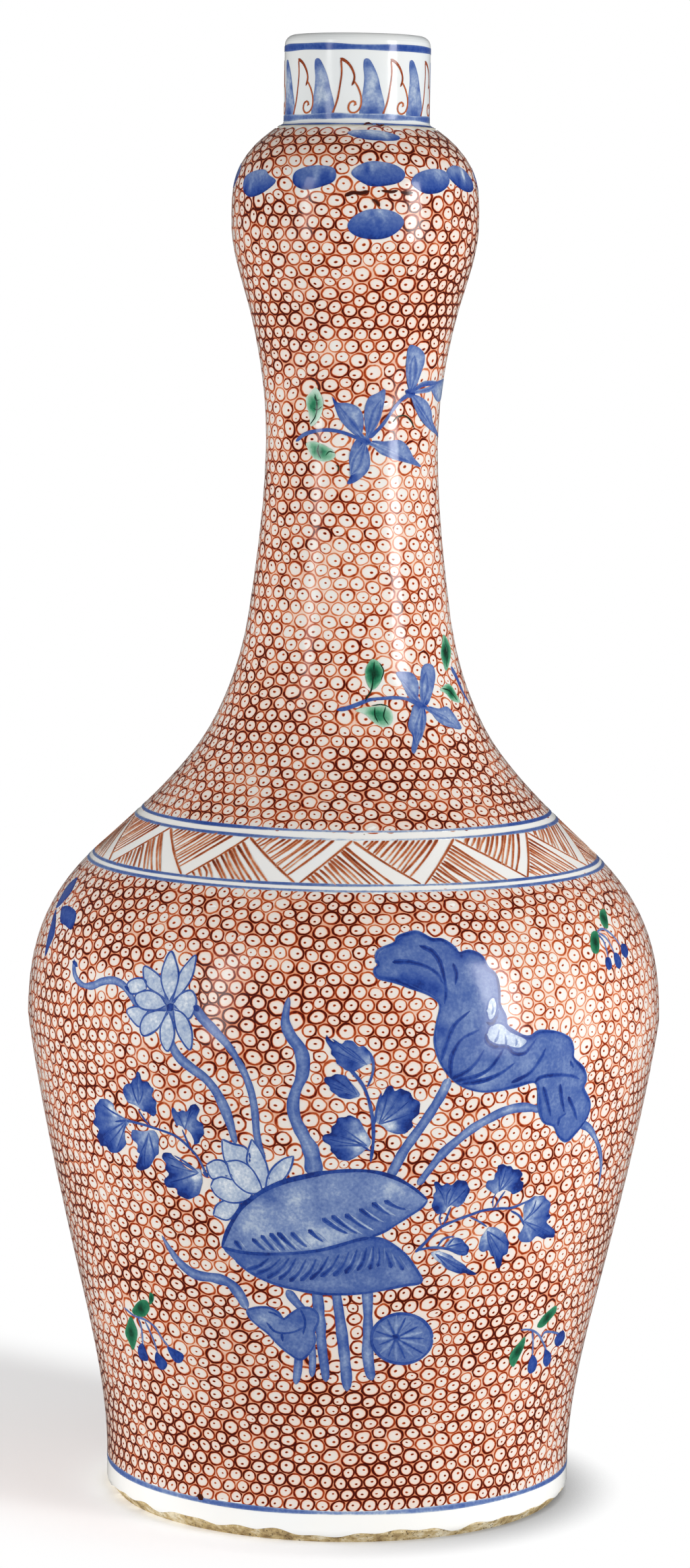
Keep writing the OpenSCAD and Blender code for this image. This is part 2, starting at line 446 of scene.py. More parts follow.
def white_glaze_material(name, cool, warm):
    made, tree, shader = glazed(name)
    whites = ramp(tree, cloud(tree, WHITE_PATCH, 3.0), (NOISE_LOW, cool), (NOISE_HIGH, warm))
    pinholes = put(tree, "ShaderNodeTexVoronoi", {"Vector": object_place(tree), "Scale": 1 / PINHOLE_ROOM})
    pinhole = ease(tree, pinholes.outputs["Distance"], *PINHOLE_EDGE, PINHOLE_SHADE, 0.0)
    tree.links.new(mix_colour(tree, pinhole, whites, paint(PINHOLE_BROWN)), shader.inputs["Base Color"])
    return made


white_glaze = white_glaze_material("white_glaze", "E9EAE9", "EDEAE4")
# The collar's glaze is a greyer, cooler copy of the white: painted shade
painted_shade_collar_glaze = white_glaze_material("painted_shade_collar_glaze", "D9DEE0", "DFE0DE")
# The foot's glaze is a brighter copy of the white: painted light where the floor lights the foot
painted_light_foot_white = white_glaze_material("painted_light_foot_white", "EFF0EF", "F2F0EB")
print("glazes:", [made.name for made in (white_glaze, painted_shade_collar_glaze, painted_light_foot_white)])

# %% [markdown]
# ## The unrolled wall
# A painter thinks of the wall as a flat sheet. Here the sheet's width is the angle round the vase and its
# height is the run along the wall divided by the radius, so small shapes keep their form wherever they lie.
# Motifs at the front are given as points of the picture, and `seen` finds them on the sheet.
# A smooth line through a few points is how a brush moves, so every outline and stroke starts as one.

# %% Points and lines on the wall
LINE_STEP = 0.7 * MM
CURVE_PARTS = 8
FEWEST_ROUND, FEWEST_OPEN = 9, 4


def seen(points):
    """Points of the picture as (angle, turn) on the unrolled wall."""
    angle, z = wall_under(points)
    return np.stack([angle, turn_at(z)], 1)


def height_of(turn):
    return np.interp(turn, wall_turn, wall_z)


def span_at(turn):
    """Metres on the wall for one unit of the unrolled wall."""
    return np.interp(turn, wall_turn, wall_r)


def lengths_along(line):
    """Metres run along a line up to each of its points."""
    steps = np.linalg.norm(np.diff(line, axis=0), axis=1) * span_at(line[1:, 1])
    return np.concatenate([[0], np.cumsum(steps)])


def curve_through(points, closed=False):
    """A smooth line through points in even steps, and how far along the points each step lies."""
    points = np.asarray(points)
    if closed:
        posts = np.concatenate([points[-1:], points, points[:2]])
    else:
        posts = np.concatenate([2 * points[:1] - points[1:2], points, 2 * points[-1:] - points[-2:-1]])
    a, b, c, d = (posts[i : len(posts) - 3 + i, None] for i in range(4))
    t = np.arange(CURVE_PARTS)[:, None] / CURVE_PARTS
    bend = 2 * b + (c - a) * t + (2 * a - 5 * b + 4 * c - d) * t**2 + (3 * b - a - 3 * c + d) * t**3
    dense = np.concatenate([bend.reshape(-1, 2) / 2, posts[-2:-1]])
    gone = lengths_along(dense)
    fewest = FEWEST_ROUND if closed else FEWEST_OPEN
    even = np.linspace(0, gone[-1], max(fewest, int(gone[-1] / LINE_STEP) + 2))
    line = np.stack([np.interp(even, gone, dense[:, axis]) for axis in (0, 1)], 1)
    place = np.interp(even, gone, np.arange(len(dense)) / CURVE_PARTS)
    return (line[:-1], place[:-1]) if closed else (line, place)


print("one turn of the wall is", round(float(wall_turn[-1]), 3), "high when unrolled")

# %% [markdown]
# ## Two ways to lay pigment
# A stroke is one pull of the brush: it swells, thins and ends in a tip, and a loaded one leaves dark edges.
# A wash fills an outline: pigment drifts to its edge, and some patches stay thin and others run dark.
# Both are kept as films: points on the sheet with a tone each, faces between them, and the level they lie at.
# They could be textures, but films keep every brush edge sharp and let the roe be set round them later.

# %% Strokes
SWAY_STEP, BRUSH_SWAY, TONE_DRIFT = 3.0, 0.1, 0.05
TIP_WIDTH = 0.2
FLAT_STROKE = ((-1, 0.0), (1, 0.0))
STEM_STROKE = ((-1, 0.24), (-0.6, 0.06), (0, -0.1), (0.6, 0.04), (1, 0.24))
SOFT_DARK = ((-1, -0.35), (0, 0.05), (1, -0.35))
SOFT_VEIN = ((-1, -0.2), (0, 0.05), (1, -0.2))
SOFT_LIGHT = ((-1, 0.14), (0, 0.0), (1, 0.14))
HAND_SEED = 5
hand = np.random.default_rng(HAND_SEED)


def stroke(sheet, points, width, tone=0.8, level=3.0, taper=1.2, rails=FLAT_STROKE):
    """A brush stroke through points; width in millimetres and tone, one or one for each point."""
    line, place = curve_through(points)
    posts = np.arange(len(points))
    width = np.interp(place, posts, np.broadcast_to(width, len(points)))
    tone = np.interp(place, posts, np.broadcast_to(tone, len(points)))
    gone = lengths_along(line) / MM
    tip = np.clip(np.minimum(gone, gone[-1] - gone) / taper, 0, 1)
    knots = np.arange(int(gone[-1] / SWAY_STEP) + 2) * SWAY_STEP
    sway = np.interp(gone, knots, hand.normal(1, BRUSH_SWAY, len(knots)))
    swell = TIP_WIDTH + (1 - TIP_WIDTH) * np.sqrt(tip)
    half = width * sway * swell / 2 * MM / span_at(line[:, 1])
    ahead = np.gradient(line, axis=0)
    ahead /= np.linalg.norm(ahead, axis=1)[:, None]
    side = np.stack([ahead[:, 1], -ahead[:, 0]], 1)
    across, shades = np.array(rails).T
    spots = line[:, None] + side[:, None] * (half[:, None] * across)[..., None]
    drift = np.interp(gone, knots, hand.normal(0, TONE_DRIFT, len(knots)))
    tones = (tone + drift)[:, None] + shades[None]
    corner = np.arange(tones.size).reshape(tones.shape)
    faces = np.stack([corner[:-1, :-1], corner[:-1, 1:], corner[1:, 1:], corner[1:, :-1]], -1).reshape(-1, 4)
    sheet.append((spots.reshape(-1, 2), tones.ravel(), faces.tolist(), level))


print("strokes ready, drawn by hand number", HAND_SEED)

# %% Washes
WASH_GRAIN, LEAF_GRAIN = 1.7 * MM, 0.8 * MM
EDGE_POOL = 0.8 * MM
ROW_SHARE, EDGE_ROOM, SAME_POINT = 0.87, 0.6, 1e-9
PIXEL = 0.195 * MM


def is_inside(points, outline):
    """Which points lie inside a closed outline."""
    a, b = outline, np.roll(outline, -1, 0)
    y = points[:, 1:2]
    rises = np.where(b[:, 1] == a[:, 1], 1e-12, b[:, 1] - a[:, 1])
    meets = a[:, 0] + (y - a[:, 1]) / rises * (b[:, 0] - a[:, 0])
    return (((a[:, 1] > y) != (b[:, 1] > y)) & (points[:, :1] < meets)).sum(1) % 2 == 1


def wash(sheet, outline, tone, level=1.0, patches=(), pool=0.16, grain=WASH_GRAIN):
    """A wash inside an outline, of one tone or with a tone that a function gives each spot.

    Patches are picture points with a reach in pixels and the tone there.
    """
    edge, _ = curve_through(outline, closed=True)
    grain = grain / span_at(edge[:, 1]).mean()
    low, high = edge.min(0), edge.max(0)
    across, upward = np.arange(low[0], high[0], grain), np.arange(low[1], high[1], grain * ROW_SHARE)
    grid = np.stack(np.meshgrid(across, upward), -1)
    grid[1::2, :, 0] += grain / 2
    grid = grid.reshape(-1, 2)
    clear = np.linalg.norm(grid[:, None] - edge, axis=2).min(1) > EDGE_ROOM * grain
    grid = grid[clear & is_inside(grid, edge)]
    points = [(float(x), float(y)) for x, y in np.concatenate([edge, grid])]
    sides = [(i, (i + 1) % len(edge)) for i in range(len(edge))]
    found = delaunay_2d_cdt(points, sides, [], 1, SAME_POINT)
    spots = np.array([tuple(spot) for spot in found[0]])
    faces = [list(face) for face in found[2]]
    tones = tone(spots) if callable(tone) else np.full(len(spots), float(tone))
    for x, y, reach, value in patches:
        away = np.linalg.norm(spots - seen([(x, y)]), axis=1) * span_at(spots[:, 1])
        tones += (value - tones) * np.exp(-((away / (reach * PIXEL)) ** 2))
    rim = np.linalg.norm(spots[:, None] - edge, axis=2).min(1) * span_at(spots[:, 1])
    sheet.append((spots, tones + pool * np.exp(-rim / EDGE_POOL), faces, level))


def outlined(washes, lines, outline, tone, level, line_tone=0.72, width=0.55, patches=()):
    """A shape with a wash and a drawn edge."""
    spots = seen(outline)
    wash(washes, spots, tone, level, patches, pool=0.05)
    stroke(lines, np.concatenate([spots, spots[:1]]), width, line_tone, level + 0.1, taper=0.5)


def turned(films, angle):
    """The same films again, further round the vase."""
    return [(spots + (angle, 0), tones, faces, level) for spots, tones, faces, level in films]


print("washes ready, with a grain of", WASH_GRAIN / MM, "and", LEAF_GRAIN / MM, "mm")

# %% [markdown]
# ## The lotus pond: flowers and stems
# The front of the belly shows a lotus pond in underglaze blue: two open flowers, stems, leaves and
# floating pads. Petals are pale washes with a thin dark edge. They are laid one over the other, so each
# lies a little higher. Stems are single loaded strokes, dark along both edges and thin in the middle.

# %% Lotus flowers
pond_washes, pond_lines = [], []
UPPER_LOTUS = [
    [(218, 1468), (217, 1455), (203, 1452), (190, 1460), (194, 1474), (206, 1474)],
    [(246, 1482), (245, 1464), (237, 1448), (216, 1434), (214, 1450), (220, 1464), (230, 1472)],
    [(256, 1487), (262, 1468), (267, 1446), (278, 1430), (291, 1418), (289, 1438), (283, 1456), (270, 1474)],
    [(258, 1490), (268, 1476), (284, 1470), (292, 1484), (288, 1502), (280, 1512), (268, 1502)],
    [(222, 1499), (213, 1512), (208, 1524), (197, 1514), (189, 1500), (200, 1494), (212, 1495)],
    [(252, 1486), (244, 1470), (240, 1450), (246, 1426), (255, 1412), (262, 1428), (266, 1448), (261, 1470)],
    [(258, 1498), (271, 1503), (281, 1516), (286, 1536), (283, 1558), (271, 1545), (262, 1526)],
    [(252, 1502), (258, 1520), (259, 1540), (250, 1560), (240, 1546), (239, 1526), (245, 1510)],
    [(249, 1500), (242, 1516), (231, 1530), (214, 1537), (209, 1524), (216, 1507), (232, 1500)],
    [(248, 1492), (238, 1477), (222, 1470), (204, 1475), (202, 1486), (212, 1497), (232, 1499)],
]
LOWER_LOTUS = [
    [(330, 1690), (346, 1697), (364, 1702), (371, 1714), (368, 1727), (350, 1722), (336, 1724), (331, 1708)],
    [(374, 1690), (386, 1706), (396, 1728), (399, 1750), (390, 1764), (377, 1742), (367, 1724), (369, 1706)],
    [(436, 1715), (432, 1732), (421, 1750), (398, 1768), (396, 1752), (404, 1734), (420, 1720)],
    [(317, 1803), (322, 1788), (338, 1780), (356, 1784), (352, 1797), (338, 1810)],
    [(313, 1760), (320, 1748), (338, 1745), (356, 1756), (374, 1771), (364, 1782), (342, 1784), (322, 1774)],
    [(307, 1728), (320, 1721), (334, 1724), (341, 1738), (346, 1750), (330, 1746), (316, 1749), (309, 1738)],
    [(337, 1723), (355, 1722), (372, 1732), (385, 1752), (388, 1768), (370, 1770), (352, 1758), (342, 1742)],
]
UPPER_HEART = [(236, 1474), (254, 1470), (271, 1476), (276, 1503), (262, 1512), (244, 1514), (232, 1502)]
wash(pond_washes, seen(UPPER_HEART), 0.5, 0.8)
for flower in (UPPER_LOTUS, LOWER_LOTUS):
    for order, petal in enumerate(flower):
        outlined(pond_washes, pond_lines, petal, 0.14, 1.0 + 0.2 * order)
print("lotus flowers:", len(UPPER_LOTUS) + len(LOWER_LOTUS), "petals")

# %% Lotus stems
STEM_SWELL = 1.15
POND_STEMS = [
    ([(287, 1490), (300, 1510), (320, 1531), (340, 1553), (358, 1582), (371, 1613), (378, 1645), (381, 1680),
      (386, 1704), (393, 1722)], [2.7, 2.6, 2.2, 2.0, 1.9, 1.9, 1.9, 2.0, 2.0, 1.2]),
    ([(250, 1532), (257, 1554), (268, 1571), (285, 1585), (304, 1599), (320, 1618), (332, 1641), (341, 1665),
      (350, 1697)], [2.2, 2.4, 2.6, 2.5, 2.4, 2.6, 2.6, 2.6, 1.4]),
    ([(429, 1480), (425, 1500), (424, 1519), (432, 1538), (445, 1556), (450, 1576), (448, 1597), (439, 1619),
      (435, 1640), (439, 1662), (451, 1686), (461, 1706), (465, 1726), (466, 1744)],
     [1.2, 1.7, 2.4, 2.8, 3.0, 3.2, 3.0, 2.9, 3.0, 3.0, 3.4, 4.4, 4.6, 4.6]),
    ([(666, 1600), (655, 1624), (638, 1652), (618, 1681), (600, 1706), (588, 1728), (578, 1747)], 2.6),
    ([(802, 1646), (775, 1643), (750, 1648), (725, 1660), (700, 1675), (676, 1694), (655, 1713), (638, 1734),
      (620, 1758)], [2.6, 2.6, 2.6, 2.5, 2.5, 2.5, 2.4, 2.3, 2.0]),
    ([(858, 1667), (872, 1673), (882, 1688), (889, 1708), (891, 1730), (887, 1762)],
     [2.2, 2.1, 1.8, 1.6, 1.3, 0.6]),
    ([(111, 1424), (112, 1446), (122, 1461), (138, 1463), (152, 1457), (168, 1455), (182, 1461), (193, 1474),
      (203, 1494)], [1.4, 1.7, 1.8, 1.9, 2.1, 2.2, 2.0, 1.8, 1.0]),
    ([(426, 1914), (438, 1930), (452, 1945)], 2.3),
    ([(470, 1912), (475, 1960), (478, 2000), (482, 2030), (484, 2050)], [2.8, 2.6, 2.5, 2.6, 2.0]),
    ([(498, 1912), (505, 1960), (510, 2000), (514, 2040), (515, 2064)], [2.5, 2.5, 2.6, 2.8, 2.2]),
    ([(545, 1912), (546, 1960), (545, 2000), (548, 2030), (552, 2048)], [2.7, 2.6, 2.6, 2.7, 2.2]),
    ([(444, 2006), (442, 2034), (439, 2054)], [2.2, 2.3, 1.8]),
    ([(462, 1984), (464, 2016), (463, 2043)], [1.9, 1.9, 1.6]),
    ([(241, 1833), (254, 1855), (270, 1876), (291, 1891), (318, 1896), (340, 1903), (356, 1921), (367, 1942)],
     [0.7, 1.5, 2.6, 3.0, 2.9, 2.8, 2.8, 2.6]),
]
for points, width in POND_STEMS:
    stroke(pond_washes, seen(points), np.array(width) * STEM_SWELL, 0.47, 0.4, taper=1.6, rails=STEM_STROKE)
HEARTS = [((253, 1495), 2.8), ((190, 1467), 1.2), ((292, 1496), 1.8), ((306, 1742), 1.3), ((113, 1430), 1.1)]
for (x, y), size in HEARTS:
    stroke(pond_lines, seen([(x - 4, y - 3), (x, y), (x + 3, y + 5)]), size, 0.88, 3.4)
print("lotus stems:", len(POND_STEMS))

# %% [markdown]
# ## The lotus pond: leaves and pads
# The big leaf curls over, so its edge shows a paler underside in two places. The folded pad below has two
# lobes that meet at a rib, each with short comb-like veins. The small sprigs have lobed, streaky leaves,
# bare at the root and dark at the tips.

# %% Big leaf
BIG_LEAF = [
    (557, 1424), (563, 1411), (586, 1400), (590, 1392), (604, 1387), (620, 1385), (640, 1395), (656, 1396),
    (673, 1408), (681, 1415), (696, 1413), (714, 1420), (722, 1437), (735, 1447), (740, 1468), (741, 1490),
    (749, 1508), (752, 1524), (774, 1537), (787, 1540), (800, 1532), (824, 1532), (843, 1541), (849, 1556),
    (850, 1570), (864, 1586), (868, 1602), (864, 1616), (874, 1638), (869, 1659), (853, 1680), (839, 1692),
    (827, 1684), (821, 1670), (806, 1664), (800, 1643), (799, 1618), (792, 1605), (764, 1611), (740, 1617),
    (712, 1619), (686, 1611), (668, 1597), (652, 1573), (645, 1545), (648, 1518), (653, 1492), (638, 1477),
    (612, 1466), (588, 1456), (562, 1450), (556, 1440), (562, 1432),
]
LEAF_PATCHES = [
    (620, 1462, 16, 0.88), (645, 1468, 12, 0.9), (600, 1455, 12, 0.86), (588, 1393, 9, 1.0),
    (684, 1418, 9, 0.9), (690, 1450, 16, 0.45), (690, 1512, 22, 0.42), (655, 1530, 9, 0.78),
    (664, 1596, 9, 0.85), (715, 1604, 22, 0.34), (775, 1580, 22, 0.4), (840, 1620, 22, 0.52),
]
wash(pond_washes, seen(BIG_LEAF), 0.54, 2.0, LEAF_PATCHES, grain=LEAF_GRAIN)
UNDERSIDES = [
    [(721, 1500), (725, 1484), (733, 1480), (737, 1494), (733, 1510), (725, 1514)],
    [(721, 1536), (726, 1523), (741, 1518), (756, 1528), (772, 1537), (782, 1545), (770, 1556), (752, 1553),
     (734, 1552), (724, 1546)],
]
for outline in UNDERSIDES:
    outlined(pond_lines, pond_lines, outline, 0.14, 2.4, 0.72, 0.6)
UNDERSIDE_STREAKS = [
    [(733, 1547), (738, 1538), (740, 1526)], [(750, 1551), (750, 1543), (748, 1533)],
    [(764, 1552), (766, 1546), (764, 1539)], [(729, 1506), (731, 1498), (730, 1489)],
]
for streak in UNDERSIDE_STREAKS:
    stroke(pond_lines, seen(streak), [1.2, 0.9, 0.5], [0.6, 0.42, 0.3], 2.6, rails=SOFT_VEIN)
LEAF_VEINS = [
    [(622, 1404), (640, 1412), (652, 1428), (658, 1450), (661, 1472), (659, 1490)],
    [(582, 1428), (606, 1428), (630, 1434), (648, 1445), (657, 1460)],
    [(672, 1430), (677, 1446), (675, 1462)],
    [(668, 1598), (668, 1578), (673, 1560), (686, 1541), (711, 1528)],
    [(654, 1574), (662, 1548), (674, 1521), (697, 1500)],
    [(669, 1601), (691, 1590), (707, 1575), (718, 1557)],
    [(674, 1604), (702, 1598), (726, 1585), (747, 1556)],
    [(684, 1608), (716, 1603), (741, 1593), (763, 1577)],
    [(758, 1606), (785, 1592), (800, 1573), (809, 1555)],
    [(720, 1534), (723, 1546), (736, 1553), (752, 1554), (762, 1563), (777, 1563), (788, 1551), (795, 1541)],
    [(721, 1517), (730, 1519), (737, 1507), (739, 1499)],
    [(793, 1605), (802, 1598), (822, 1595), (846, 1596), (859, 1601)],
    [(805, 1612), (812, 1638), (816, 1656)],
    [(830, 1608), (832, 1628), (836, 1650)],
    [(827, 1670), (829, 1659), (839, 1652)],
    [(842, 1627), (850, 1645), (855, 1662)],
    [(845, 1574), (850, 1584)],
]
for number, vein in enumerate(LEAF_VEINS):
    swell = np.linspace(1.7, 0.9, len(vein))
    stroke(pond_lines, seen(vein), swell, swell * 0.2 + 0.66, 3.0 + 0.05 * number, taper=2.0, rails=SOFT_VEIN)
leaf_rim = BIG_LEAF + BIG_LEAF[:1]
rim_widths = hand.uniform(0.6, 1.7, len(leaf_rim))
rim_tones = hand.uniform(0.74, 0.98, len(leaf_rim))
stroke(pond_lines, seen(leaf_rim), rim_widths, rim_tones, 2.8, taper=0.5, rails=SOFT_VEIN)
print("big leaf:", len(LEAF_VEINS), "veins")

# %% Folded pad
PAD_RIB = [
    (548, 1836), (528, 1840), (504, 1847), (478, 1854), (448, 1858), (416, 1860), (386, 1860), (356, 1857),
]
PAD_UPPER = [
    (330, 1850), (337, 1829), (346, 1811), (359, 1791), (376, 1777), (396, 1764), (422, 1753), (450, 1746),
    (480, 1740), (512, 1737), (542, 1737), (567, 1741), (592, 1750), (614, 1763), (634, 1780), (626, 1791),
    (608, 1803), (588, 1816), (570, 1827), *PAD_RIB,
]
PAD_LOWER = [
    (333, 1853), *PAD_RIB[::-1], (566, 1838), (582, 1846), (600, 1860), (614, 1878), (625, 1901),
    (600, 1907), (570, 1913), (540, 1918), (508, 1920), (476, 1919), (446, 1914), (420, 1908), (394, 1899),
    (370, 1886), (350, 1870),
]
PAD_PATCHES = [
    (380, 1815, 40, 0.26), (440, 1785, 24, 0.2), (580, 1762, 34, 0.24), (470, 1835, 26, 0.18),
    (500, 1842, 20, 0.2), (400, 1775, 18, 0.62), (470, 1800, 22, 0.45), (555, 1812, 30, 0.6),
    (350, 1840, 16, 0.5),
]
LOWER_PATCHES = [(560, 1860, 30, 0.6), (450, 1895, 30, 0.46), (600, 1890, 20, 0.44)]
RIM_BRUSH = [0.8, 1.3, 1.4, 1.4, 1.5, 1.5, 1.5, 1.4, 1.2, 1.0, 1.0, 1.1, 1.1, 1.0, 0.6]
wash(pond_washes, seen(PAD_UPPER), 0.4, 4.0, PAD_PATCHES)
wash(pond_washes, seen(PAD_LOWER), 0.52, 4.2, LOWER_PATCHES)
pad_edge = seen(PAD_UPPER)
stroke(pond_lines, pad_edge[: len(RIM_BRUSH)], RIM_BRUSH, 0.9, 5.0)
stroke(pond_lines, pad_edge[14:20], 0.7, 0.78, 5.0)
stroke(pond_lines, np.concatenate([pad_edge[:1], pad_edge[:18:-1]]), 0.95, 0.86, 5.2)
stroke(pond_lines, seen(PAD_LOWER)[8:], 0.8, 0.8, 5.0)
UPPER_VEINS = [
    (349, 1840, 360, 1854), (375, 1837, 395, 1855), (388, 1832, 408, 1855), (401, 1829, 424, 1855),
    (412, 1828, 440, 1854), (432, 1828, 456, 1850), (458, 1824, 480, 1842), (478, 1807, 516, 1830),
    (492, 1803, 530, 1830), (512, 1801, 546, 1824), (533, 1793, 562, 1812), (552, 1784, 578, 1802),
    (570, 1781, 602, 1794),
]
LOWER_VEINS = [
    (366, 1884, 400, 1866), (381, 1890, 418, 1866), (397, 1896, 430, 1866), (414, 1898, 440, 1866),
    (430, 1901, 455, 1867), (446, 1900, 470, 1867), (460, 1898, 488, 1863), (476, 1894, 504, 1860),
    (495, 1893, 518, 1857), (512, 1889, 530, 1853), (530, 1885, 544, 1850), (548, 1883, 554, 1848),
    (560, 1879, 562, 1850), (580, 1881, 572, 1856), (598, 1884, 584, 1862),
]
for veins, light in ((UPPER_VEINS, 0.24), (LOWER_VEINS, 0.44)):
    for head_x, head_y, tail_x, tail_y in veins:
        middle = np.array(((head_x + tail_x) / 2 + 2, (head_y + tail_y) / 2 + 3))
        vein = np.array([(head_x, head_y), middle, (tail_x, tail_y)])
        stroke(pond_lines, seen(vein), [1.7, 1.0, 0.7], [0.95, 0.84, 0.76], 5.4, taper=0.5, rails=SOFT_VEIN)
        stroke(pond_lines, seen(vein + (8, 1)), [0.4, 0.9, 0.6], light, 5.3, taper=2.5, rails=SOFT_LIGHT)
print("folded pad:", len(UPPER_VEINS) + len(LOWER_VEINS), "veins")

# %% Folded leaf and round pad
FOLDED_LEAF = [
    (366, 1944), (381, 1940), (399, 1940), (413, 1947), (421, 1957), (432, 1949), (446, 1941), (461, 1941),
    (471, 1949), (472, 1961), (466, 1976), (468, 1990), (460, 2006), (446, 2017), (428, 2007), (411, 1992),
    (398, 1978), (384, 1967), (372, 1956),
]
FOLDED_PATCHES = [(395, 1952, 16, 0.3), (445, 1960, 9, 0.66)]
FOLDS = [
    [(396, 1962), (410, 1976), (432, 1977), (452, 1969)], [(421, 1957), (408, 1949), (398, 1946)],
    [(418, 1976), (420, 1990)], [(446, 1942), (453, 1960), (450, 1980)],
]
outlined(pond_washes, pond_lines, FOLDED_LEAF, 0.5, 2.0, 0.74, 0.7, FOLDED_PATCHES)
for fold in FOLDS:
    stroke(pond_lines, seen(fold), 0.7, 0.78, 3.0)

ROUND_PAD, PAD_HUB = (596, 1986), (587, 1985)
PAD_ACROSS, PAD_DOWN, PAD_SPOKES = 45, 37, 18
ROUND_PATCHES = [(600, 1962, 16, 0.38), (584, 1988, 9, 0.8)]
DARK_SPOKE, LIGHT_SPOKE = ([0.7, 0.8, 0.6], 0.82, SOFT_VEIN), ([0.5, 1.4, 0.8], 0.34, SOFT_LIGHT)
rim_turns = np.linspace(0, FULL_TURN, PAD_SPOKES, endpoint=False)
pad_rim = np.stack([np.cos(rim_turns) * PAD_ACROSS, np.sin(rim_turns) * PAD_DOWN], 1) + ROUND_PAD
outlined(pond_washes, pond_lines, pad_rim, 0.52, 2.0, 0.78, 0.9, ROUND_PATCHES)
hub = np.array(PAD_HUB, float)
for number, rim_spot in enumerate(pad_rim):
    way = rim_spot - hub
    spoke = [hub + way * share for share in (0.12, 0.45, hand.uniform(0.72, 0.96))]
    width, tone, rails = LIGHT_SPOKE if number % 2 else DARK_SPOKE
    stroke(pond_lines, seen(spoke), width, tone, 3.0 + 0.04 * number, rails=rails)
hub_dab = [hub - (5, 4), hub + (1, -2), hub + (5, 3)]
stroke(pond_lines, seen(hub_dab), [1.6, 2.2, 1.6], 0.95, 4.0, rails=SOFT_VEIN)
print("round pad:", PAD_SPOKES, "spokes")

# %% Sprig stems
SPRIG_STEMS = [
    ([(308, 1746), (296, 1720), (280, 1701), (262, 1686), (240, 1677), (215, 1669), (190, 1663),
      (172, 1664)], 0.75),
    ([(223, 1669), (214, 1659), (206, 1646)], 0.55), ([(283, 1706), (277, 1690), (271, 1676)], 0.55),
    ([(550, 1724), (554, 1692), (553, 1661), (548, 1635), (540, 1613), (528, 1596), (516, 1584)], 1.0),
    ([(545, 1613), (552, 1596), (554, 1578), (548, 1560)], 0.8), ([(556, 1668), (559, 1645), (566, 1622)],
     0.8),
    ([(550, 1708), (538, 1700), (524, 1690)], 0.6),
    ([(616, 1858), (632, 1842), (650, 1823), (672, 1812), (696, 1803), (716, 1796), (738, 1793), (758, 1792),
      (776, 1785), (792, 1778)], [1.3, 0.9, 0.9, 0.9, 0.9, 0.9, 0.8, 0.8, 0.8, 0.6]),
    ([(658, 1816), (663, 1805), (669, 1790)], 0.6), ([(655, 1819), (652, 1808), (655, 1798)], 0.5),
    ([(733, 1793), (740, 1780), (749, 1767)], 0.6), ([(731, 1791), (731, 1780), (736, 1769)], 0.5),
    ([(697, 1806), (710, 1812), (722, 1820)], 0.55), ([(757, 1796), (770, 1804), (777, 1818)], 0.7),
    ([(620, 1855), (640, 1851), (664, 1853), (684, 1862)], 0.8), ([(648, 1851), (658, 1838), (674, 1834)],
     0.7),
]
for points, width in SPRIG_STEMS:
    stroke(pond_lines, seen(points), width, 0.74, 2.4, taper=2.0)
print("sprig stems:", len(SPRIG_STEMS))

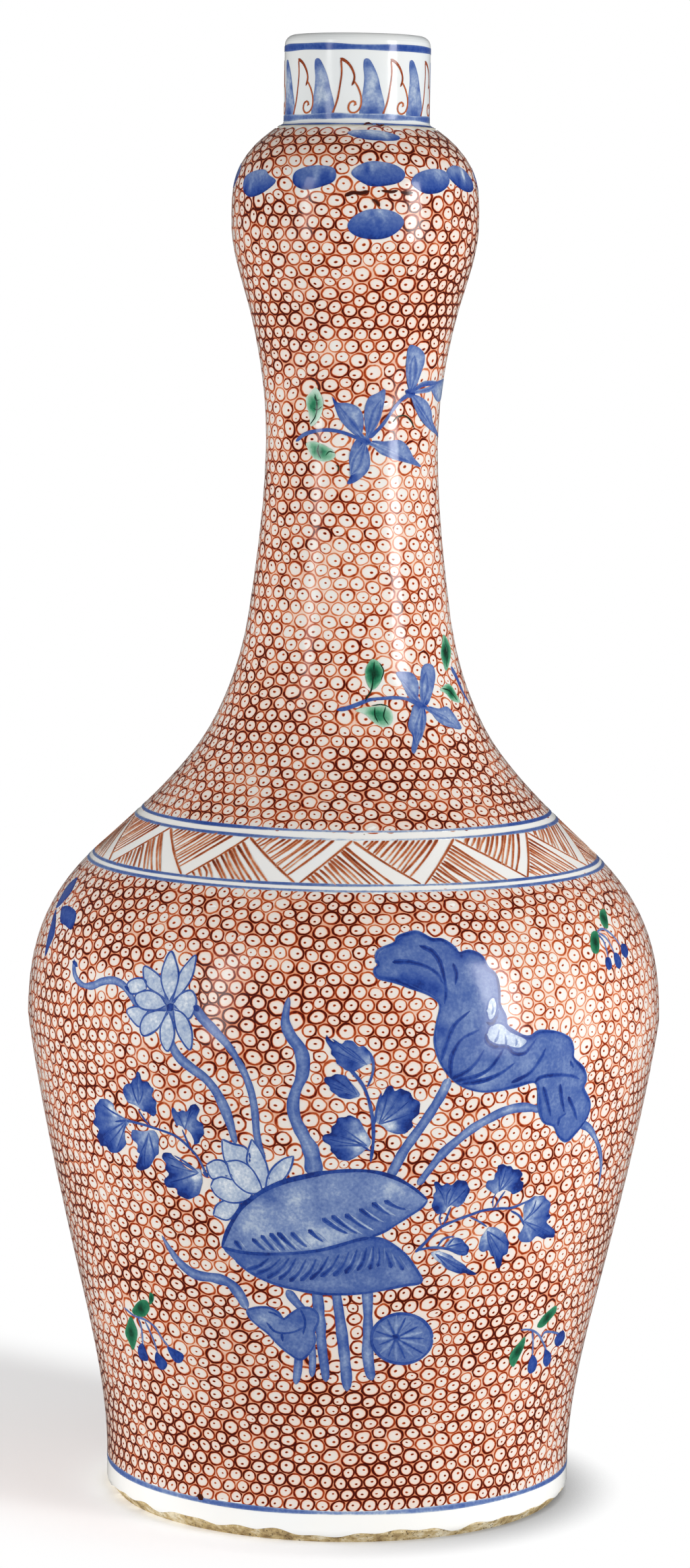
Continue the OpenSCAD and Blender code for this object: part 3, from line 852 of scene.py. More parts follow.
# %% Sprig leaves
SPRIG_LEAVES = [
    ([(205, 1588), (212, 1602), (226, 1611), (228, 1626), (233, 1644), (230, 1657), (219, 1651), (203, 1641),
      (189, 1634), (183, 1614), (195, 1606), (202, 1598)], [(222, 1622, 9, 0.45), (222, 1648, 12, 0.95)]),
    ([(146, 1634), (158, 1630), (168, 1637), (178, 1656), (193, 1663), (186, 1674), (188, 1699), (172, 1712),
      (158, 1702), (147, 1694), (146, 1676), (141, 1656)],
     [(166, 1644, 8, 0.02), (172, 1652, 8, 0.02), (180, 1676, 9, 0.2), (150, 1655, 10, 0.6),
      (165, 1702, 12, 0.9)]),
    ([(195, 1677), (214, 1677), (233, 1680), (237, 1698), (232, 1718), (214, 1737), (202, 1733), (208, 1714),
      (203, 1699)], [(228, 1690, 9, 0.3), (216, 1684, 7, 0.3), (210, 1731, 10, 0.92), (212, 1706, 9, 0.6)]),
    ([(256, 1642), (264, 1649), (278, 1648), (287, 1638), (295, 1640), (294, 1660), (304, 1676), (299, 1690),
      (289, 1699), (286, 1684), (274, 1673), (261, 1668)], [(282, 1657, 7, 0.5), (296, 1686, 10, 0.95)]),
    ([(241, 1712), (253, 1710), (268, 1724), (281, 1735), (299, 1737), (300, 1760), (293, 1776), (270, 1777),
      (261, 1764), (244, 1757), (250, 1742), (246, 1726)],
     [(290, 1746, 9, 0.02), (276, 1750, 8, 0.4), (274, 1773, 14, 0.98), (256, 1722, 9, 0.5)]),
    ([(484, 1535), (493, 1545), (507, 1548), (521, 1543), (532, 1552), (547, 1556), (553, 1576), (536, 1584),
      (524, 1591), (507, 1584), (497, 1571), (490, 1557)],
     [(534, 1562, 9, 0.42), (508, 1556, 8, 0.5), (522, 1578, 12, 0.92), (545, 1557, 6, 0.95)]),
    ([(480, 1602), (490, 1596), (510, 1594), (521, 1605), (533, 1626), (516, 1631), (499, 1625), (488, 1612)],
     [(508, 1600, 8, 0.55), (486, 1602, 7, 0.95), (516, 1622, 10, 0.88)]),
    ([(477, 1688), (490, 1680), (497, 1666), (512, 1656), (528, 1657), (541, 1673), (549, 1698), (533, 1714),
      (514, 1723), (496, 1714), (489, 1700)],
     [(538, 1688, 11, 0.05), (526, 1668, 9, 0.3), (530, 1702, 8, 0.1), (504, 1676, 12, 0.85),
      (505, 1715, 12, 0.88)]),
    ([(578, 1609), (568, 1623), (561, 1642), (559, 1664), (575, 1678), (592, 1683), (606, 1679), (613, 1662),
      (624, 1646), (614, 1628), (600, 1616), (586, 1618)],
     [(572, 1666, 9, 0.0), (582, 1670, 8, 0.0), (566, 1640, 7, 0.35), (604, 1672, 13, 0.97),
      (600, 1636, 10, 0.6)]),
    ([(644, 1752), (656, 1758), (670, 1757), (684, 1750), (696, 1759), (692, 1778), (680, 1791), (666, 1790),
      (656, 1801), (645, 1800), (642, 1780), (646, 1766)],
     [(648, 1792, 10, 1.0), (652, 1772, 9, 0.55), (684, 1768, 9, 0.6)]),
    ([(739, 1728), (752, 1729), (762, 1734), (774, 1738), (772, 1750), (777, 1760), (762, 1772), (748, 1765),
      (732, 1771), (719, 1759), (732, 1749), (737, 1738)],
     [(766, 1762, 9, 1.0), (736, 1764, 8, 0.2), (744, 1768, 6, 0.1), (728, 1758, 8, 0.5)]),
    ([(776, 1791), (784, 1779), (798, 1774), (811, 1777), (815, 1798), (812, 1814), (823, 1833), (812, 1837),
      (796, 1836), (776, 1844), (767, 1836), (776, 1816)],
     [(796, 1783, 10, 0.1), (772, 1834, 8, 0.5), (800, 1828, 10, 0.88), (804, 1800, 8, 0.6)]),
    ([(726, 1820), (740, 1823), (752, 1836), (755, 1850), (746, 1866), (738, 1884), (732, 1866), (724, 1856),
      (710, 1856), (712, 1838), (719, 1827)], [(720, 1828, 7, 0.05), (742, 1828, 7, 0.25),
      (730, 1848, 9, 0.62)]),
    ([(660, 1846), (676, 1835), (690, 1843), (695, 1858), (688, 1864), (672, 1857)],
     [(668, 1845, 8, 0.05), (688, 1852, 8, 0.55)]),
    ([(640, 1858), (656, 1857), (676, 1868), (694, 1882), (708, 1891), (690, 1890), (668, 1886), (654, 1876)],
     [(650, 1864, 10, 0.02), (688, 1886, 10, 0.9)]),
]
LEAF_ROOTS = [
    (207, 1640), (190, 1662), (222, 1680), (275, 1676), (296, 1740), (545, 1580), (530, 1625), (545, 1700),
    (562, 1668), (662, 1792), (740, 1768), (776, 1812), (722, 1826), (662, 1850), (645, 1860),
]
STREAKS, STREAK_DEPTH = 9, 0.13
ROOT_TONE, TIP_GAIN = 0.17, 0.84


def lobed(outline, root):
    """An outline with a lobe between each two of its points on the side away from the root."""
    outline, root = np.array(outline, float), np.array(root, float)
    lobes = []
    for here, after in zip(outline, np.roll(outline, -1, 0)):
        middle = (here + after) / 2
        out = (middle - root) / max(np.linalg.norm(middle - root), 1)
        depth = 0.2 * np.linalg.norm(after - here)
        lobes += [here - out * depth * 0.5, middle + out * depth * hand.uniform(0.5, 1.0)]
    return lobes


def sprig_leaf(points, root, patches):
    """A leaf that is bare at its root and dark at its tips, streaked by the hairs of the brush."""
    phase = hand.uniform(0, FULL_TURN)

    def from_root(spots):
        away = spots - seen([root])
        share = np.linalg.norm(away, axis=1)
        share /= share.max()
        turn = np.arctan2(away[:, 1], away[:, 0])
        streaks = np.sin(STREAKS * turn + phase) + np.sin(2.3 * STREAKS * turn)
        return ROOT_TONE + TIP_GAIN * share + STREAK_DEPTH * streaks * np.sqrt(share)

    wash(pond_washes, seen(lobed(points, root)), from_root, 1.6, patches, 0.12, LEAF_GRAIN)
    tips = sorted(points, key=lambda spot: -math.dist(spot, root))[:4]
    for number, tip in enumerate(np.array(tips, float)):
        middle = (tip + root) / 2 + hand.normal(0, 1.5, 2)
        vein = [np.array(root, float), middle, tip * 0.85 + np.array(root) * 0.15]
        stroke(pond_lines, seen(vein), [0.5, 0.6, 0.4], [0.6, 0.8, 0.95], 2.2 + 0.1 * number, rails=SOFT_VEIN)


for (points, patches), root in zip(SPRIG_LEAVES, LEAF_ROOTS):
    sprig_leaf(points, root, patches)
print("pond:", len(pond_washes), "washes and", len(pond_lines), "lines")

# %% [markdown]
# ## Sprigs round the vase
# Two flower sprigs climb the neck, and small sprigs with green leaves and dark berries fill the ground
# elsewhere. The flowers are underglaze blue. The green is an enamel, put on over the glaze after the first
# firing and fired again at lower heat, so it lies highest and has dark hair lines drawn into it.

# %% Neck flowers
neck_blue = []
UPPER_FLOWER_STEMS = [
    ([(440, 655), (452, 645), (467, 640), (487, 638), (506, 641), (523, 647), (543, 656)],
     [1.0, 1.2, 1.1, 1.0, 1.0, 1.1, 1.4]),
    ([(548, 650), (566, 632), (580, 612), (592, 596), (606, 585)], [1.2, 1.0, 0.9, 1.0, 1.4]),
    ([(608, 582), (624, 573), (640, 570), (652, 566)], [1.0, 0.7, 0.7, 0.6]),
]
LOWER_FLOWER_STEMS = [
    ([(500, 1054), (513, 1052), (530, 1046), (548, 1039), (566, 1037), (586, 1036), (603, 1038), (626, 1048)],
     [1.2, 1.4, 1.3, 1.1, 1.0, 1.0, 1.1, 1.6]),
    ([(668, 990), (676, 1005), (686, 1028), (696, 1046)], [1.6, 1.8, 1.6, 0.8]),
]
UPPER_PETALS = [
    [(493, 588), (501, 597), (516, 598), (531, 604), (539, 618), (538, 640), (531, 648), (511, 631),
     (501, 615)],
    [(546, 650), (541, 628), (541, 608), (547, 590), (560, 583), (571, 577), (570, 596), (565, 617),
     (556, 638)],
    [(551, 655), (571, 655), (592, 653), (604, 662), (613, 679), (624, 693), (604, 687), (582, 681),
     (561, 671)],
    [(530, 652), (521, 666), (518, 684), (521, 703), (515, 718), (528, 715), (545, 700), (549, 683),
     (543, 660)],
    [(607, 580), (602, 558), (602, 538), (606, 514), (616, 513), (628, 523), (629, 537), (623, 556),
     (616, 574)],
    [(610, 586), (627, 591), (638, 606), (642, 629), (649, 649), (636, 637), (622, 620), (614, 604)],
    [(637, 572), (650, 565), (658, 563), (658, 580), (652, 594), (646, 594)],
]
LOWER_PETALS = [
    [(587, 999), (599, 997), (612, 1000), (620, 1014), (620, 1034), (617, 1043), (605, 1034), (596, 1015)],
    [(625, 992), (633, 985), (642, 989), (645, 1004), (641, 1027), (634, 1046), (627, 1044), (623, 1018)],
    [(635, 1049), (650, 1052), (662, 1049), (673, 1061), (684, 1082), (664, 1079), (650, 1072), (641, 1061)],
    [(615, 1046), (628, 1050), (632, 1066), (629, 1084), (621, 1104), (615, 1119), (610, 1114), (612, 1094),
     (605, 1079), (609, 1060)],
]
PETAL_PATCHES = [
    (543, 655, 13, 0.9), (608, 583, 10, 0.9), (626, 1048, 12, 0.9), (508, 612, 10, 0.42), (556, 600, 10, 0.5),
    (580, 664, 10, 0.5), (526, 680, 9, 0.42), (612, 545, 9, 0.45), (604, 1015, 8, 0.38), (634, 1010, 9, 0.45),
    (655, 1062, 9, 0.45), (618, 1095, 9, 0.78), (520, 708, 9, 0.8), (498, 595, 6, 0.75),
]
FLOWER_HEARTS = [(543, 655), (608, 583), (626, 1048)]
for order, points in enumerate(UPPER_PETALS + LOWER_PETALS):
    wash(neck_blue, seen(points), 0.29, 1.0 + 0.1 * order, PETAL_PATCHES, pool=0.24)
    petal = np.array(points)
    flower_heart = np.array(min(FLOWER_HEARTS, key=lambda heart: np.hypot(*(petal - heart).T).min()))
    tip = np.array(max(points, key=lambda spot: math.dist(spot, flower_heart)))
    for number, side in enumerate((-4, 4)):
        streak = [flower_heart, (tip + flower_heart) / 2 + side, tip * 0.8 + flower_heart * 0.2]
        stroke(neck_blue, seen(streak), [0.9, 1.7, 0.6], 0.56, 2.2 + 0.1 * number, rails=SOFT_VEIN)
for x, y in FLOWER_HEARTS:
    dab = [(x - 7, y - 3), (x, y), (x + 7, y + 2)]
    stroke(neck_blue, seen(dab), [1.6, 2.8, 1.6], 0.9, 2.6, rails=SOFT_DARK)
for points, width in UPPER_FLOWER_STEMS + LOWER_FLOWER_STEMS:
    stroke(neck_blue, seen(points), width, 0.66, 3.0, taper=1.0)
print("neck flowers:", len(neck_blue), "films")

# %% Neck leaves
neck_green, neck_green_lines = [], []
NECK_LEAVES = [
    ([(469, 575), (477, 586), (480, 602), (475, 620), (462, 633), (460, 617), (456, 603), (455, 590),
      (461, 583)], 0.42),
    ([(455, 658), (466, 655), (480, 660), (495, 669), (497, 679), (484, 685), (468, 681), (459, 669)], 0.5),
    ([(553, 978), (563, 984), (569, 996), (565, 1012), (556, 1023), (549, 1022), (543, 1010), (542, 996),
      (546, 985)], 0.72),
    ([(527, 1055), (541, 1050), (557, 1049), (571, 1048), (581, 1056), (582, 1072), (570, 1080),
      (556, 1074), (542, 1061)], 0.5),
    ([(657, 942), (664, 952), (668, 966), (666, 982), (661, 996), (656, 984), (653, 970), (655, 955)], 0.78),
    ([(652, 1024), (663, 1015), (670, 1020), (677, 1032), (682, 1043), (670, 1040), (661, 1030)], 0.6),
]
for points, tone in NECK_LEAVES:
    middle = np.mean(points, 0)
    wash(neck_green, seen(points), tone - 0.1, 2.0, [(*middle, 11, tone + 0.35)], pool=-0.35)
LEAF_HAIRS = [
    [(468, 584), (471, 600), (469, 617), (461, 630)], [(467, 588), (470, 594), (475, 593)],
    [(478, 603), (472, 608), (466, 606)], [(474, 659), (472, 670), (477, 681)], [(484, 676), (489, 670),
     (497, 672)],
    [(555, 982), (554, 1000), (551, 1024), (545, 1034), (542, 1042)], [(563, 984), (569, 996), (565, 1010)],
    [(556, 1050), (556, 1062), (561, 1073)], [(572, 1049), (569, 1064), (576, 1076)],
    [(551, 1048), (566, 1046), (578, 1050)], [(658, 948), (662, 968), (661, 990)], [(655, 1022),
     (666, 1026), (677, 1040)],
    [(583, 626), (590, 618), (601, 617), (609, 625), (614, 636)], [(499, 690), (503, 694), (501, 700)],
]
for points in LEAF_HAIRS:
    stroke(neck_green_lines, seen(points), 0.36, 0.98, 3.6, taper=1.5)
print("neck leaves:", len(neck_green), "with", len(neck_green_lines), "hair lines")

# %% Berry sprigs
sprig_blue, sprig_green = [], []
BERRY_STEMS = [
    [(885, 1383), (893, 1379), (903, 1384), (912, 1393), (919, 1403)], [(886, 1384), (898, 1392),
     (906, 1405), (911, 1416)],
    [(885, 1386), (894, 1396), (899, 1410), (901, 1421)],
    [(185, 1940), (200, 1952), (216, 1958), (231, 1969), (241, 1985), (252, 1999)],
    [(206, 1955), (211, 1972), (213, 1996)], [(216, 1960), (228, 1986), (235, 2008)],
    [(772, 1973), (786, 1973), (797, 1979), (804, 1990), (810, 2004)], [(803, 1985), (807, 1977),
     (816, 1976), (829, 1979)],
    [(789, 1974), (790, 1991), (789, 2012)],
]
BERRIES = [
    [(898, 1422), (904, 1422), (907, 1434), (903, 1440), (898, 1434)],
    [(910, 1415), (917, 1417), (921, 1430), (918, 1438), (912, 1432)],
    [(921, 1402), (927, 1402), (931, 1412), (928, 1422), (921, 1414)],
    [(207, 1997), (213, 1993), (218, 2005), (221, 2018), (212, 2018), (206, 2008)],
    [(233, 2006), (242, 2014), (249, 2023), (245, 2032), (237, 2030), (231, 2019)],
    [(249, 1998), (262, 2003), (273, 2010), (271, 2020), (263, 2022), (255, 2013)],
    [(790, 2010), (796, 2020), (793, 2033), (785, 2038), (782, 2030), (785, 2018)],
    [(808, 2002), (816, 2008), (816, 2019), (810, 2028), (805, 2022), (806, 2011)],
    [(835, 1974), (837, 1984), (831, 1995), (824, 1997), (822, 1988), (827, 1979)],
]
EDGE_LEAVES = [
    [(116, 1303), (107, 1324), (94, 1340), (84, 1348), (92, 1330), (103, 1313)],
    [(93, 1347), (103, 1345), (113, 1353), (113, 1365), (107, 1380), (98, 1374), (91, 1369), (91, 1357)],
    [(84, 1350), (84, 1366), (82, 1386), (75, 1404), (68, 1420), (71, 1396), (77, 1372)],
]
GREEN_SPRAYS = [
    [(890, 1352), (896, 1350), (900, 1362), (901, 1378), (894, 1375), (889, 1363)],
    [(877, 1385), (885, 1383), (888, 1397), (887, 1414), (879, 1414), (875, 1401)],
    [(202, 1936), (210, 1929), (219, 1930), (223, 1941), (216, 1953), (204, 1952), (197, 1946)],
    [(195, 1953), (201, 1964), (205, 1980), (199, 2003), (193, 1992), (187, 1978), (190, 1964)],
    [(223, 1918), (229, 1922), (228, 1931), (223, 1935)],
    [(796, 1968), (803, 1955), (813, 1945), (824, 1937), (824, 1946), (815, 1958), (804, 1969)],
    [(778, 1983), (777, 1996), (771, 2010), (761, 2028), (755, 2020), (757, 2008), (768, 1994)],
]
for points in BERRY_STEMS:
    stroke(sprig_blue, seen(points), 0.7, 0.5, 1.2, taper=1.5)
for points in BERRIES:
    wash(sprig_blue, seen(points), 0.84, 1.6, pool=0.05)
for points in EDGE_LEAVES:
    wash(sprig_blue, seen(points), 0.76, 1.0)
for points in GREEN_SPRAYS:
    wash(sprig_green, seen(points), 0.74, 2.0, [(*np.mean(points, 0), 8, 1.0)], pool=-0.18, grain=LEAF_GRAIN)
print("sprigs:", len(sprig_blue), "blue films,", len(sprig_green), "green")

# %% [markdown]
# ## Dots on the bulb, and the far side
# Round the bulb runs a row of blue ovals, with a few above and below. Each was one dab, thin at the top
# where the brush landed and dark at the bottom where the colour ran.
# The photograph shows only the front. A vase like this has the same scene twice, so the pond and its sprigs
# are laid again on the far side, and the neck flowers again where the front doesn't see them.

# %% Bulb dots
bulb_blue = []
FRONT_DOTS, BACK_DOTS = [(381, 272), (466, 262), (562, 257), (641, 268), (685, 265)], 6
DOT_POINTS, DOT_BLOTCHES = 10, 7
DOT_ACROSS, DOT_TALL, DOT_TONE = 7.4, 3.8, 0.56
LONE_DOTS = [((555, 201), 7.8, 2.4, 0.36), ((558, 332), 8.2, 4.5, 0.56)]


def bulb_dot(angle, height, across, tall, tone):
    turns = np.linspace(0, FULL_TURN, DOT_POINTS, endpoint=False)
    shape = np.stack([np.cos(turns) * across, np.sin(turns) * tall], 1)
    shape *= hand.normal(1, 0.05, (DOT_POINTS, 1))
    shape[:, 1] += shape[:, 0] * hand.normal(0, 0.12)
    turn = turn_at(height)
    spots = np.array([angle, turn]) + shape * MM / radius_at(height)
    wash(bulb_blue, spots, tone, 1.0, pool=0.14, grain=LEAF_GRAIN)
    spots, tones, faces, level = bulb_blue[-1]
    down = (turn - spots[:, 1]) * radius_at(height) / (tall * MM)
    tones = tones + 0.3 * np.clip(down + 0.1, -0.8, 1)
    for _ in range(DOT_BLOTCHES):
        spot = np.array([angle, turn]) + hand.normal(0, 0.45, 2) * (across, tall) * MM / radius_at(height)
        away = np.linalg.norm((spots - spot) * (1.6, 0.8), axis=1) * radius_at(height) / MM
        tones += hand.uniform(-0.28, 0.24) * np.exp(-((away / 1.5) ** 2))
    bulb_blue[-1] = spots, tones, faces, level


front_angles, front_heights = wall_under(FRONT_DOTS)
back_angles = np.linspace(front_angles[-1], front_angles[0] + FULL_TURN, BACK_DOTS + 2)[1:-1]
back_heights = front_heights.mean() + hand.normal(0, 1.2 * MM, BACK_DOTS)
for angle, height in zip([*front_angles, *back_angles], [*front_heights, *back_heights]):
    size = hand.normal(1, 0.06)
    bulb_dot(angle, height, DOT_ACROSS * size, DOT_TALL * size, DOT_TONE)
for point, across, tall, tone in LONE_DOTS:
    (angle,), (height,) = wall_under([point])
    for third in range(3):
        bulb_dot(angle + third * FULL_TURN / 3, height, across, tall, tone)
print("bulb dots:", len(bulb_blue))

# %% Kiln marks
kiln_marks = []
KILN_DARKER = 0.25
KILN_MARKS = [
    ([(512, 291), (524, 286), (535, 287), (548, 284)], 1.1, 1.0, 3.0),
    ([(566, 283), (580, 285), (590, 283)], 0.9, 0.95, 3.0),
    ([(594, 285), (604, 287), (612, 286)], 1.2, 1.0, 3.0),
    ([(552, 296), (559, 300), (563, 307)], 1.6, 0.85, 3.0),
    ([(540, 185), (546, 183), (553, 185)], 0.9, 1.0, -4.5),
    ([(558, 184), (564, 186), (570, 185)], 0.9, 1.0, -4.5),
    ([(294, 2218), (298, 2221), (302, 2225)], 2.2, 1.0, 3.0),
]
for points, width, tone, level in KILN_MARKS:
    stroke(kiln_marks, seen(points), width, tone + KILN_DARKER, level, rails=SOFT_DARK)
print("kiln marks:", len(kiln_marks))

# %% The far side
FAR_SIDE = math.pi
NECK_FAR_SIDE = math.radians(163)
far_washes, far_lines = turned(pond_washes, FAR_SIDE), turned(pond_lines, FAR_SIDE)
for sheet in (sprig_blue, sprig_green):
    sheet += turned(sheet, FAR_SIDE)
for sheet in (neck_blue, neck_green, neck_green_lines):
    sheet += turned(sheet, NECK_FAR_SIDE)
print("far side:", len(far_washes), "washes and", len(far_lines), "lines")

# %% Where the pigment lies


def rim_edges(faces):
    """The edges that only one face has."""
    sides = {(face[i - 1], face[i]) for face in faces for i in range(len(face))}
    return sorted((a, b) for a, b in sides if (b, a) not in sides)


def flat_map(sheets):
    """All films of some sheets, also one turn to each side on the unrolled wall, and a tree of their rims."""
    corners, faces, rims = [], [], []
    for spots, _, film_faces, _ in (film for sheet in sheets for film in sheet):
        rim = sorted({corner for edge in rim_edges(film_faces) for corner in edge})
        for turn in (-FULL_TURN, 0, FULL_TURN):
            faces += [[corner + len(corners) for corner in face] for face in film_faces]
            corners += [(x + turn, y, 0.0) for x, y in spots.tolist()]
            rims += [(x + turn, y, 0.0) for x, y in spots[rim].tolist()]
    tree = KDTree(len(rims))
    for number, rim in enumerate(rims):
        tree.insert(rim, number)
    tree.balance()
    return BVHTree.FromPolygons(corners, faces), tree


broad_ink = flat_map([pond_washes, far_washes, sprig_blue, sprig_green, neck_blue, neck_green, bulb_blue])
fine_ink = flat_map([pond_lines, far_lines])
print("motifs mapped for the roe to keep clear of")

# %% [markdown]
# ## Roe ground: where the rings go
# Most of the vase is covered with roe: thousands of small iron-red rings, each with a dot, packed like
# fish eggs. A painter sets ring against ring, row after row, and works round the blue motifs, which were
# there first. A plain grid would look printed. Here the rows start regular, are jogged by hand-sized
# errors, and are then let settle, each ring moving to the middle of the room that its neighbours leave.
# A ring that falls on a motif stays blank, which leaves the white edge round it, and its neighbours make
# room. Rings that end up too close are left out.

# %% The net between rings, and the way to the pigment
RING_PITCH = 4.6 * MM
ROW_PITCH = 3.75 * MM
RING_WIDER = 1.16
HAND_ERROR, LAST_ERROR = 0.17, 0.055
CROWDED = 2.9 * MM
SETTLING = 5
BROAD_CLEAR, FINE_CLEAR, BLANK_DEPTH = 1.5 * MM, 1.3 * MM, 1.6 * MM
BLANK_FROM = -0.8 * MM
NET_OVERLAP = 0.6
ON_FILM, LEAST_AWAY = 1e-7, 1e-6
FOOT_ROOM, BAND_ROOM, COLLAR_ROOM = 0.4 * MM, 0.6 * MM, 0.5 * MM
BODY_SEED, HEAD_SEED = 11, 12


def net_of(angle, turn):
    """Triangles between neighbouring rings, closed round the vase."""
    order = np.arange(len(angle))
    left, right = angle > FULL_TURN - NET_OVERLAP, angle < NET_OVERLAP
    flat = np.concatenate([angle, angle[left] - FULL_TURN, angle[right] + FULL_TURN])
    up = np.concatenate([turn, turn[left], turn[right]])
    whose = np.concatenate([order, order[left], order[right]])
    points = [(float(x), float(y) * RING_WIDER) for x, y in zip(flat, up)]
    found = delaunay_2d_cdt(points, [], [], 0, SAME_POINT)
    source = np.array([ids[0] for ids in found[3]])
    corners = source[np.array(found[2])]
    middle = flat[corners].mean(1)
    kept = corners[(middle >= 0) & (middle < FULL_TURN)]
    return flat, up, whose, kept


def from_ink(angle, turn, ink):
    """How far each ring's middle is outside a motif, or below zero inside, and the way straight out of it."""
    films, rims = ink
    places = [(x, y, 0.0) for x, y in zip(angle.tolist(), turn.tolist())]
    nearest = [films.find_nearest(place) for place in places]
    edge = np.array([rims.find(place)[0][:2] for place in places])
    inside = np.array([hit[3] for hit in nearest]) < ON_FILM
    edge = np.where(inside[:, None], edge, np.array([hit[0][:2] for hit in nearest]))
    away = np.stack([angle, turn], 1) - edge
    distance = np.maximum(np.linalg.norm(away, axis=1), LEAST_AWAY)
    sign = np.where(inside, -1, 1)
    return sign * distance * span_at(turn), away * (sign / distance)[:, None]


print("ring pitch", RING_PITCH / MM, "mm, rows", ROW_PITCH / MM, "mm apart")

# %% Let the rings settle


def settle(angle, turn, fixed):
    """Moves each free ring to the middle of the triangles round it."""
    flat, up, whose, net = net_of(angle, turn)
    x, y = flat[net], up[net]
    area = abs((x[:, 1] - x[:, 0]) * (y[:, 2] - y[:, 0]) - (x[:, 2] - x[:, 0]) * (y[:, 1] - y[:, 0]))
    area *= span_at(y.mean(1)) ** 2
    total, push_x, push_y = np.zeros((3, len(angle)))
    for corner in range(3):
        owner = whose[net[:, corner]]
        np.add.at(total, owner, area)
        np.add.at(push_x, owner, area * (x.mean(1) - x[:, corner]))
        np.add.at(push_y, owner, area * (y.mean(1) - y[:, corner]))
    free = ~fixed
    angle[free] = (angle + push_x / total)[free]
    turn[free] = (turn + push_y / total)[free]


def make_room(angle, turn, blank, fixed):
    """Moves rings off the pigment beside them, and draws blank ones under it."""
    for ink, clear in ((fine_ink, FINE_CLEAR), (broad_ink, BROAD_CLEAR)):
        outside, outward = from_ink(angle, turn, ink)
        move = np.where(blank, np.minimum(-BLANK_DEPTH - outside, 0) / 2, np.maximum(clear - outside, 0))
        move[fixed | (blank & (ink is fine_ink))] = 0
        move /= span_at(turn)
        angle += outward[:, 0] * move
        turn += outward[:, 1] * move


def has_room(angle, turn, skipped):
    """Which rings keep far enough from every ring before them to be drawn at all."""
    places = on_wall(angle, height_of(turn))
    tree = KDTree(len(places))
    for number in np.flatnonzero(~skipped):
        tree.insert(places[number], number)
    tree.balance()
    kept = np.ones(len(angle), bool)
    for number in np.flatnonzero(~skipped):
        near = [other for _, other, _ in tree.find_range(places[number], CROWDED) if other > number]
        kept[near] &= not kept[number]
    return kept


print("ring middles keep", BROAD_CLEAR / MM, "mm clear of a wash and", FINE_CLEAR / MM, "mm of a line")

# %% Set out the rings


def set_out_rings(low, high, seed):
    """Angles and heights of the ring centres between two heights, which are blank, and their net."""
    chance = np.random.default_rng(seed)
    start, end = run_at(low), run_at(high)
    count = round((end - start) / ROW_PITCH)
    angles, runs, guard = [], [], []
    for row in range(-1, count + 1):
        run = start + (row + 0.5) * (end - start) / count
        around = round(FULL_TURN * radius_at(height_at(run)) / RING_PITCH)
        jog = chance.normal(0, HAND_ERROR, (2, around))
        angles.append((np.arange(around) + row % 2 / 2 + chance.random() + jog[0]) / around % 1 * FULL_TURN)
        runs.append(run + jog[1] * ROW_PITCH * (0 <= row < count))
        guard.append(np.full(around, not 0 <= row < count))
    angle, run, fixed = map(np.concatenate, (angles, runs, guard))
    turn = np.interp(run, wall_run, wall_turn)
    blank = from_ink(angle, turn, broad_ink)[0] < BLANK_FROM
    for _ in range(SETTLING):
        settle(angle, turn, fixed)
        make_room(angle, turn, blank, fixed)
        angle %= FULL_TURN
        kept = has_room(angle, turn, blank | fixed)
        angle, turn, blank, fixed = angle[kept], turn[kept], blank[kept], fixed[kept]
    last_jog = chance.normal(0, LAST_ERROR * RING_PITCH, (2, len(angle))) * ~fixed / span_at(turn)
    angle, turn = (angle + last_jog[0]) % FULL_TURN, turn + last_jog[1]
    make_room(angle, turn, blank, fixed)
    angle %= FULL_TURN
    whose, net = net_of(angle, turn)[2:]
    return angle, height_of(turn), blank, whose[net]


FOOT_LINE = 9.6 * MM
BAND_LOW, BAND_HIGH = 197.2 * MM, 212.9 * MM
COLLAR_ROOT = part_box("garlic_bulb")[1][2]
body_rings = set_out_rings(FOOT_LINE + FOOT_ROOM, BAND_LOW + BAND_ROOM, BODY_SEED)
head_rings = set_out_rings(BAND_HIGH + BAND_ROOM, COLLAR_ROOT - COLLAR_ROOM, HEAD_SEED)
print("rings:", len(body_rings[0]), "on the body,", len(head_rings[0]), "on the neck and bulb")

# %% [markdown]
# ## Roe ground: the rings' own cells
# The net joins the middles of neighbouring rings. Its dual has one cell round each middle, which is just the
# room that a ring fills. Geometry Nodes has that step ready: Dual Mesh. The same tree writes on every cell
# where a point lies from the cell's middle, how much room the ring has, and a few chances, for the paint
# to read.

# %% Geometry Nodes helpers


def new_tree(name, sizes):
    """A Geometry Nodes tree with a Geometry input and output, and named inputs with starting values."""
    tree = bpy.data.node_groups.new(name, "GeometryNodeTree")
    tree.interface.new_socket("Geometry", in_out="INPUT", socket_type="NodeSocketGeometry")
    kinds = {float: "NodeSocketFloat", int: "NodeSocketInt"}
    for label, value in sizes.items():
        kind = kinds.get(type(value), "NodeSocketMaterial")
        socket = tree.interface.new_socket(label, in_out="INPUT", socket_type=kind)
        if kind != "NodeSocketMaterial":
            socket.default_value = value
    tree.interface.new_socket("Geometry", in_out="OUTPUT", socket_type="NodeSocketGeometry")
    return tree, tree.nodes.new("NodeGroupInput").outputs


def close_tree(tree, geometry, material):
    """Ends a tree in Realize Instances and Set Material."""
    solid = put(tree, "GeometryNodeRealizeInstances", {0: geometry}).outputs[0]
    dressed = put(tree, "GeometryNodeSetMaterial", {"Geometry": solid, "Material": material}).outputs[0]
    put(tree, "NodeGroupOutput", {0: dressed})


